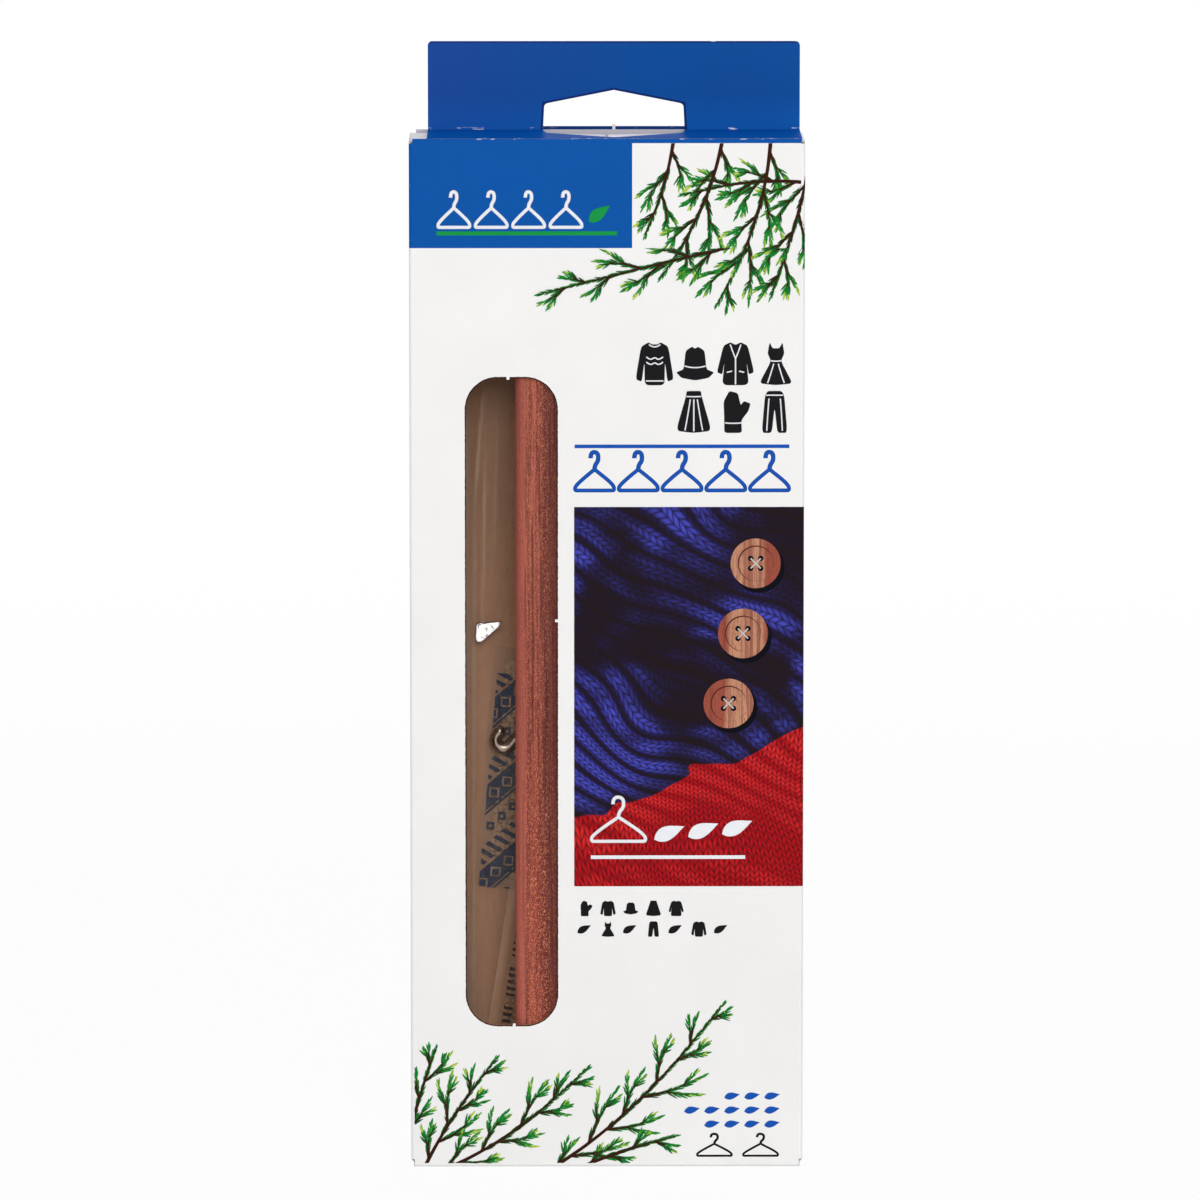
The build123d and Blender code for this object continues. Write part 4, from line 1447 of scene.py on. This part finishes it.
def pinchedSheet(name, material, grow, depth):  # a sheet of the pinch's outline with a sunk middle
    outline = [Vector(point) for point in bagLook["pinch"]]
    middle = sum(outline, Vector((0, 0))) / len(outline)
    bpy.ops.mesh.primitive_circle_add(vertices=len(outline), radius=1.0, fill_type="NGON", location=(0, 0, 0))
    pinch = bpy.context.active_object
    pinch.name = name
    for vertex, point in zip(pinch.data.vertices, outline):
        spot = point + (point - middle).normalized() * grow
        vertex.co = (spot.x * mm, depth * mm, spot.y * mm)
    openMesh(pinch)
    bpy.ops.mesh.inset(thickness=0.5 * mm, depth=0)
    bpy.ops.mesh.extrude_region_move(TRANSFORM_OT_translate={"value": (0, 0.4 * mm, 0)})
    bpy.ops.mesh.select_all(action="SELECT")
    bpy.ops.mesh.subdivide(number_cuts=2, smoothness=0.2)
    closeMesh()
    for vertex in pinch.data.vertices:
        vertex.co.y += 0.16 * mm * noise.noise(vertex.co / mm * 1.2)
    withModifier(pinch, "SOLIDIFY", thickness=0.05 * mm, offset=0)
    dress(pinch, material, "hook_bag")


def makeCrinkle():
    # A painted highlight: a small pinched fold of film is painted white and glows, and a dark sheet of
    # painted shade lies round it
    paintedGlint, tree, shader = newMaterial("glowingGlintFilm", Roughness=0.12, IOR=1.5, Emission_Strength=0.55)
    streak = cloudy(placeOn(tree), 1100.0, 2.0, squash=0.5)
    lit = mixed(fitted(streak, 0.38, 0.54), hue(150, 140, 146), hue(255, 255, 255))
    paint(shader, Base_Color=lit, Emission_Color=lit)
    shade, tree, shader = newMaterial("shadedFilm", Roughness=0.4, IOR=1.2)
    paint(shader, Base_Color=mixed(cloudy(placeOn(tree), 900.0, 2.0), hue(66, 48, 38), hue(112, 86, 70)))
    pinchedSheet("filmGlint", paintedGlint, 0.0, 8.0)
    pinchedSheet("filmPinchShade", shade, 0.28, 8.5)


makeCrinkle()
print("bag made")


# Wire hook

def dressHook():
    material, tree, shader = newMaterial("platedWire", Metallic=1.0)
    drawn = cloudy(placeOn(tree), 1400.0, 3.0)
    # The plating is painted a warm brownish grey: grey plating tinted with painted reflection of the brown
    # kraft round it
    paint(shader, Base_Color=mixed(drawn, hue(142, 126, 112), hue(178, 164, 150)),
          Roughness=fitted(drawn, 0.3, 0.7, 0.2, 0.34), Normal=bumped(drawn, 0.15, 0.00003))
    dressNode("wire_hook", material)
    return material


platedWire = dressHook()

threadLook = {
    "lean": math.radians(20.0) - math.atan2(1.0, 32.3),  # the hook's lean less its run's slant
    "tip": (-4.65, 4.3),  # X and Z of the screw's tip
    "pitch": 1.5,
    "turns": 7,
    "wireRadius": 1.4,
    "start": 2.0,
    "tipRadius": 0.3,
    "taper": 0.22,  # how much the radius grows on each millimetre from the tip
    "depth": 0.28,
    "steps": 24,
}


def middleDepth(name):  # the Y of a node's middle, in millimetres
    low, high = boxOf(name)
    return (low.y + high.y) / 2


def makeThread():
    # The screw thread as one raised ridge that winds round the hook's foot
    total = threadLook["turns"] * threadLook["steps"]
    run = []
    for count in range(total + 1):
        turn = 2 * math.pi * count / threadLook["steps"]
        height = threadLook["start"] + threadLook["pitch"] * count / threadLook["steps"]
        radius = min(threadLook["wireRadius"], threadLook["tipRadius"] + threadLook["taper"] * height)
        ridge = min(1.0, 0.3 + count / total * 3, 0.1 + (total - count) / 12)
        run.append((radius * math.cos(turn), radius * math.sin(turn), height, ridge))
    thread = newCurve("hookThread", "POLY", [run], dimensions="3D", bevel_depth=threadLook["depth"] * mm,
                      bevel_resolution=1, use_fill_caps=True)
    x, z = threadLook["tip"]
    thread.rotation_euler = (0, threadLook["lean"], 0)
    thread.location = (x * mm, middleDepth("wire_hook") * mm, z * mm)
    thread = asMesh(thread)
    settle(thread)
    bpy.ops.object.shade_smooth()
    dress(thread, platedWire, "hook_bag")


makeThread()
print("hook dressed")


# Packets in the bag

absorber = {
    "size": (40.0, 55.0), "rim": 2.0, "lean": 5.0, "corner": (-30.0, 60.2), "cells": (60, 80),
    "bandTurn": 46.0, "bandPitch": 13.9, "bandShare": 0.36, "bandShift": 0.245, "printTop": 49.0,
    "printLeft": 1.1,
}
sachet = {
    "size": (22.0, 46.0), "rim": 2.0, "lean": 8.7, "corner": (-28.4, 18.0), "cells": (40, 80),
    "column": (2.9, 4.9), "tickPitch": 1.5, "tickShare": 0.5, "groupPitch": 9.1, "groupShare": 0.72,
}


def packetPlace(packet, layer):
    width, height = packet["size"]
    lean = math.radians(packet["lean"])
    x = packet["corner"][0] + width / 2 * math.cos(lean) + height / 2 * math.sin(lean)
    z = packet["corner"][1] + height / 2 * math.cos(lean) - width / 2 * math.sin(lean)
    return Matrix.Translation((x * mm, layer * mm, z * mm)) @ Matrix.Rotation(lean, 4, "Y")


def makeEnvelope(name, packet, node, material):
    # Two sheets of film sealed along their rims, swollen by what they hold
    low, high = boxOf(node)
    swell = (high.y - low.y) / 2 - 0.03
    width, height = packet["size"]
    sheets = []
    for side in (-1, 1):
        sheet = uprightSheet(*packet["cells"], width, height)
        for vertex in sheet.data.vertices:
            x, z = vertex.co.x / mm, vertex.co.z / mm
            rim = min(width / 2 - abs(x), height / 2 - abs(z)) - packet["rim"] * 0.8
            full = softStep(rim, 0, 2.2)
            crease = 0.5 + 0.5 * noise.noise(Vector((x / 3.1, z / 6.0, side * 4.0)))
            ripple = 0.07 * noise.noise(Vector((x / 4, z / 4, 2))) * (1 - full)
            vertex.co.y = (side * (0.03 + swell * full * (0.93 + 0.07 * crease)) + ripple) * mm
        sheets.append(sheet)
    envelope = joined(name, sheets)
    envelope.data.transform(packetPlace(packet, middleDepth(node)))
    openMesh(envelope)
    bpy.ops.mesh.remove_doubles(threshold=0.002 * mm)
    bpy.ops.mesh.select_all(action="DESELECT")
    bpy.ops.mesh.select_non_manifold()
    bpy.ops.mesh.bridge_edge_loops()
    bpy.ops.mesh.select_all(action="SELECT")
    bpy.ops.mesh.normals_make_consistent(inside=False)
    closeMesh()
    bpy.ops.object.shade_smooth_by_angle(angle=math.radians(50))
    dress(envelope, material, "hook_bag")
    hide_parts(node)


def packetAxes(tree, packet):  # millimetres from the packet's lower left corner
    axes = parts(placeOn(tree, "UV"))
    across = times(axes["X"], packet["size"][0])
    up = times(axes["Y"], packet["size"][1])
    return across, up


def absorberMaterial():
    # Clear film with plain diagonal bands and rows of tick marks beside them
    material, tree, shader = newMaterial("absorberFilm", Roughness=0.35, IOR=1.35)
    across, up = packetAxes(tree, absorber)
    turn = math.radians(absorber["bandTurn"])
    alongBand = plus(times(across, math.cos(turn)), times(up, math.sin(turn)))
    over = minus(times(up, math.cos(turn)), times(across, math.sin(turn)))
    phase = fraction(plus(divided(over, absorber["bandPitch"]), absorber["bandShift"]))
    band = below(phase, absorber["bandShare"])

    def row(low, high, pitch, share, lean=0.0):  # tick marks between two heights over the band
        run = plus(alongBand, times(phase, lean))
        return times(between(phase, low, high), below(fraction(divided(run, pitch)), share))

    def rings(middle, pitch, outer, inner):  # small open diamonds along a row
        acrossRow = times(minus(phase, middle), absorber["bandPitch"])
        alongRow = times(minus(fraction(divided(alongBand, pitch)), 0.5), pitch)
        return between(plus(absolute(acrossRow), absolute(alongRow)), inner, outer)

    pale = larger(rings(0.19, 3.9, 1.6, 1.05), row(0.03, 0.055, 9.0, 0.9))
    marks = larger(row(0.4, 0.64, 2.3, 0.44, 5.0), rings(0.815, 3.4, 1.25, 0.5))
    ink = larger(times(band, minus(1.0, pale)), marks)
    worn = fitted(cloudy(placeOn(tree), 1300.0, 3.0), 0.28, 0.45, 0.75, 1.0)
    ink = times(ink, above(across, absorber["printLeft"]), below(up, absorber["printTop"]), worn)
    paint(shader, Base_Color=mixed(ink, hue(206, 184, 160), hue(4, 40, 74)), Alpha=larger(ink, 0.07))
    return material


def sachetMaterial():
    # Clear film with one column of ticks in groups beside its left seam
    material, tree, shader = newMaterial("sachetFilm", Roughness=0.26, IOR=1.5)
    across, up = packetAxes(tree, sachet)
    tick, group = [below(fraction(divided(up, sachet[f"{kind}Pitch"])), sachet[f"{kind}Share"])
                   for kind in ("tick", "group")]
    ink = times(between(across, *sachet["column"]), tick, group)
    film = plus(0.2, times(fitted(across, 2.2, 1.6), 0.1))
    paint(shader, Base_Color=mixed(ink, hue(255, 206, 164), hue(50, 32, 36)),
          Alpha=larger(times(ink, 0.8), film))
    return material


def makeGranules(name, packet, node, chips):
    # Drying granules: chips of clay laid in rows with some disorder, each a copy of one chip
    chance = random.Random(11 + chips)
    low, high = boxOf(node)
    thick = (high.y - low.y) * 0.78
    width, height = [part - 2 * packet["rim"] - 3.0 for part in packet["size"]]
    columns = max(1, int(math.sqrt(chips * width / height)))
    rows = max(1, int(chips / columns))
    spread = width / columns
    bpy.ops.mesh.primitive_ico_sphere_add(subdivisions=1, radius=0.5)
    chip = bpy.context.active_object
    copies = []
    for row in range(rows + 1):
        for column in range(columns + 1):
            x = (column / columns - 0.5) * width + spread * 0.5 * (chance.random() - 0.5)
            z = (row / rows - 0.5) * height + spread * 0.5 * (chance.random() - 0.5)
            size = spread * (0.95 + 0.4 * chance.random())
            mesh = chip.data.copy()
            mesh.transform(Matrix.Rotation(chance.random() * 6, 4, (chance.random(), 1, chance.random())))
            mesh.transform(Matrix.Diagonal((size * mm, min(size, thick) * mm, size * mm, 1)))
            rise = 0.12 * thick * (chance.random() - 0.5)
            mesh.transform(Matrix.Translation((x * mm, rise * mm, z * mm)))
            copies.append(newPiece(f"{name}{row}_{column}", mesh))
    bpy.data.objects.remove(chip)
    granules = joined(name, copies)
    granules.data.transform(packetPlace(packet, middleDepth(node)))
    dress(granules, granuleClay, "hook_bag")
    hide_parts(node)


def granuleMaterial():
    material, tree, shader = newMaterial("granuleClay", Roughness=0.85)
    place = placeOn(tree)
    shade = cloudy(place, 700.0, 3.0)
    paint(shader, Base_Color=mixed(shade, hue(178, 140, 110), hue(206, 168, 136)),
          Normal=bumped(cloudy(place, 2200.0, 3.0), 0.4, 0.00006))
    return material


granuleClay = granuleMaterial()
makeEnvelope("absorberEnvelope", absorber, "absorber_envelope", absorberMaterial())
makeEnvelope("sachetEnvelope", sachet, "sachet_envelope", sachetMaterial())
makeGranules("absorberGranules", absorber, "absorber_filling", 1300)
makeGranules("sachetGranules", sachet, "sachet_granules", 420)
print("packets made")
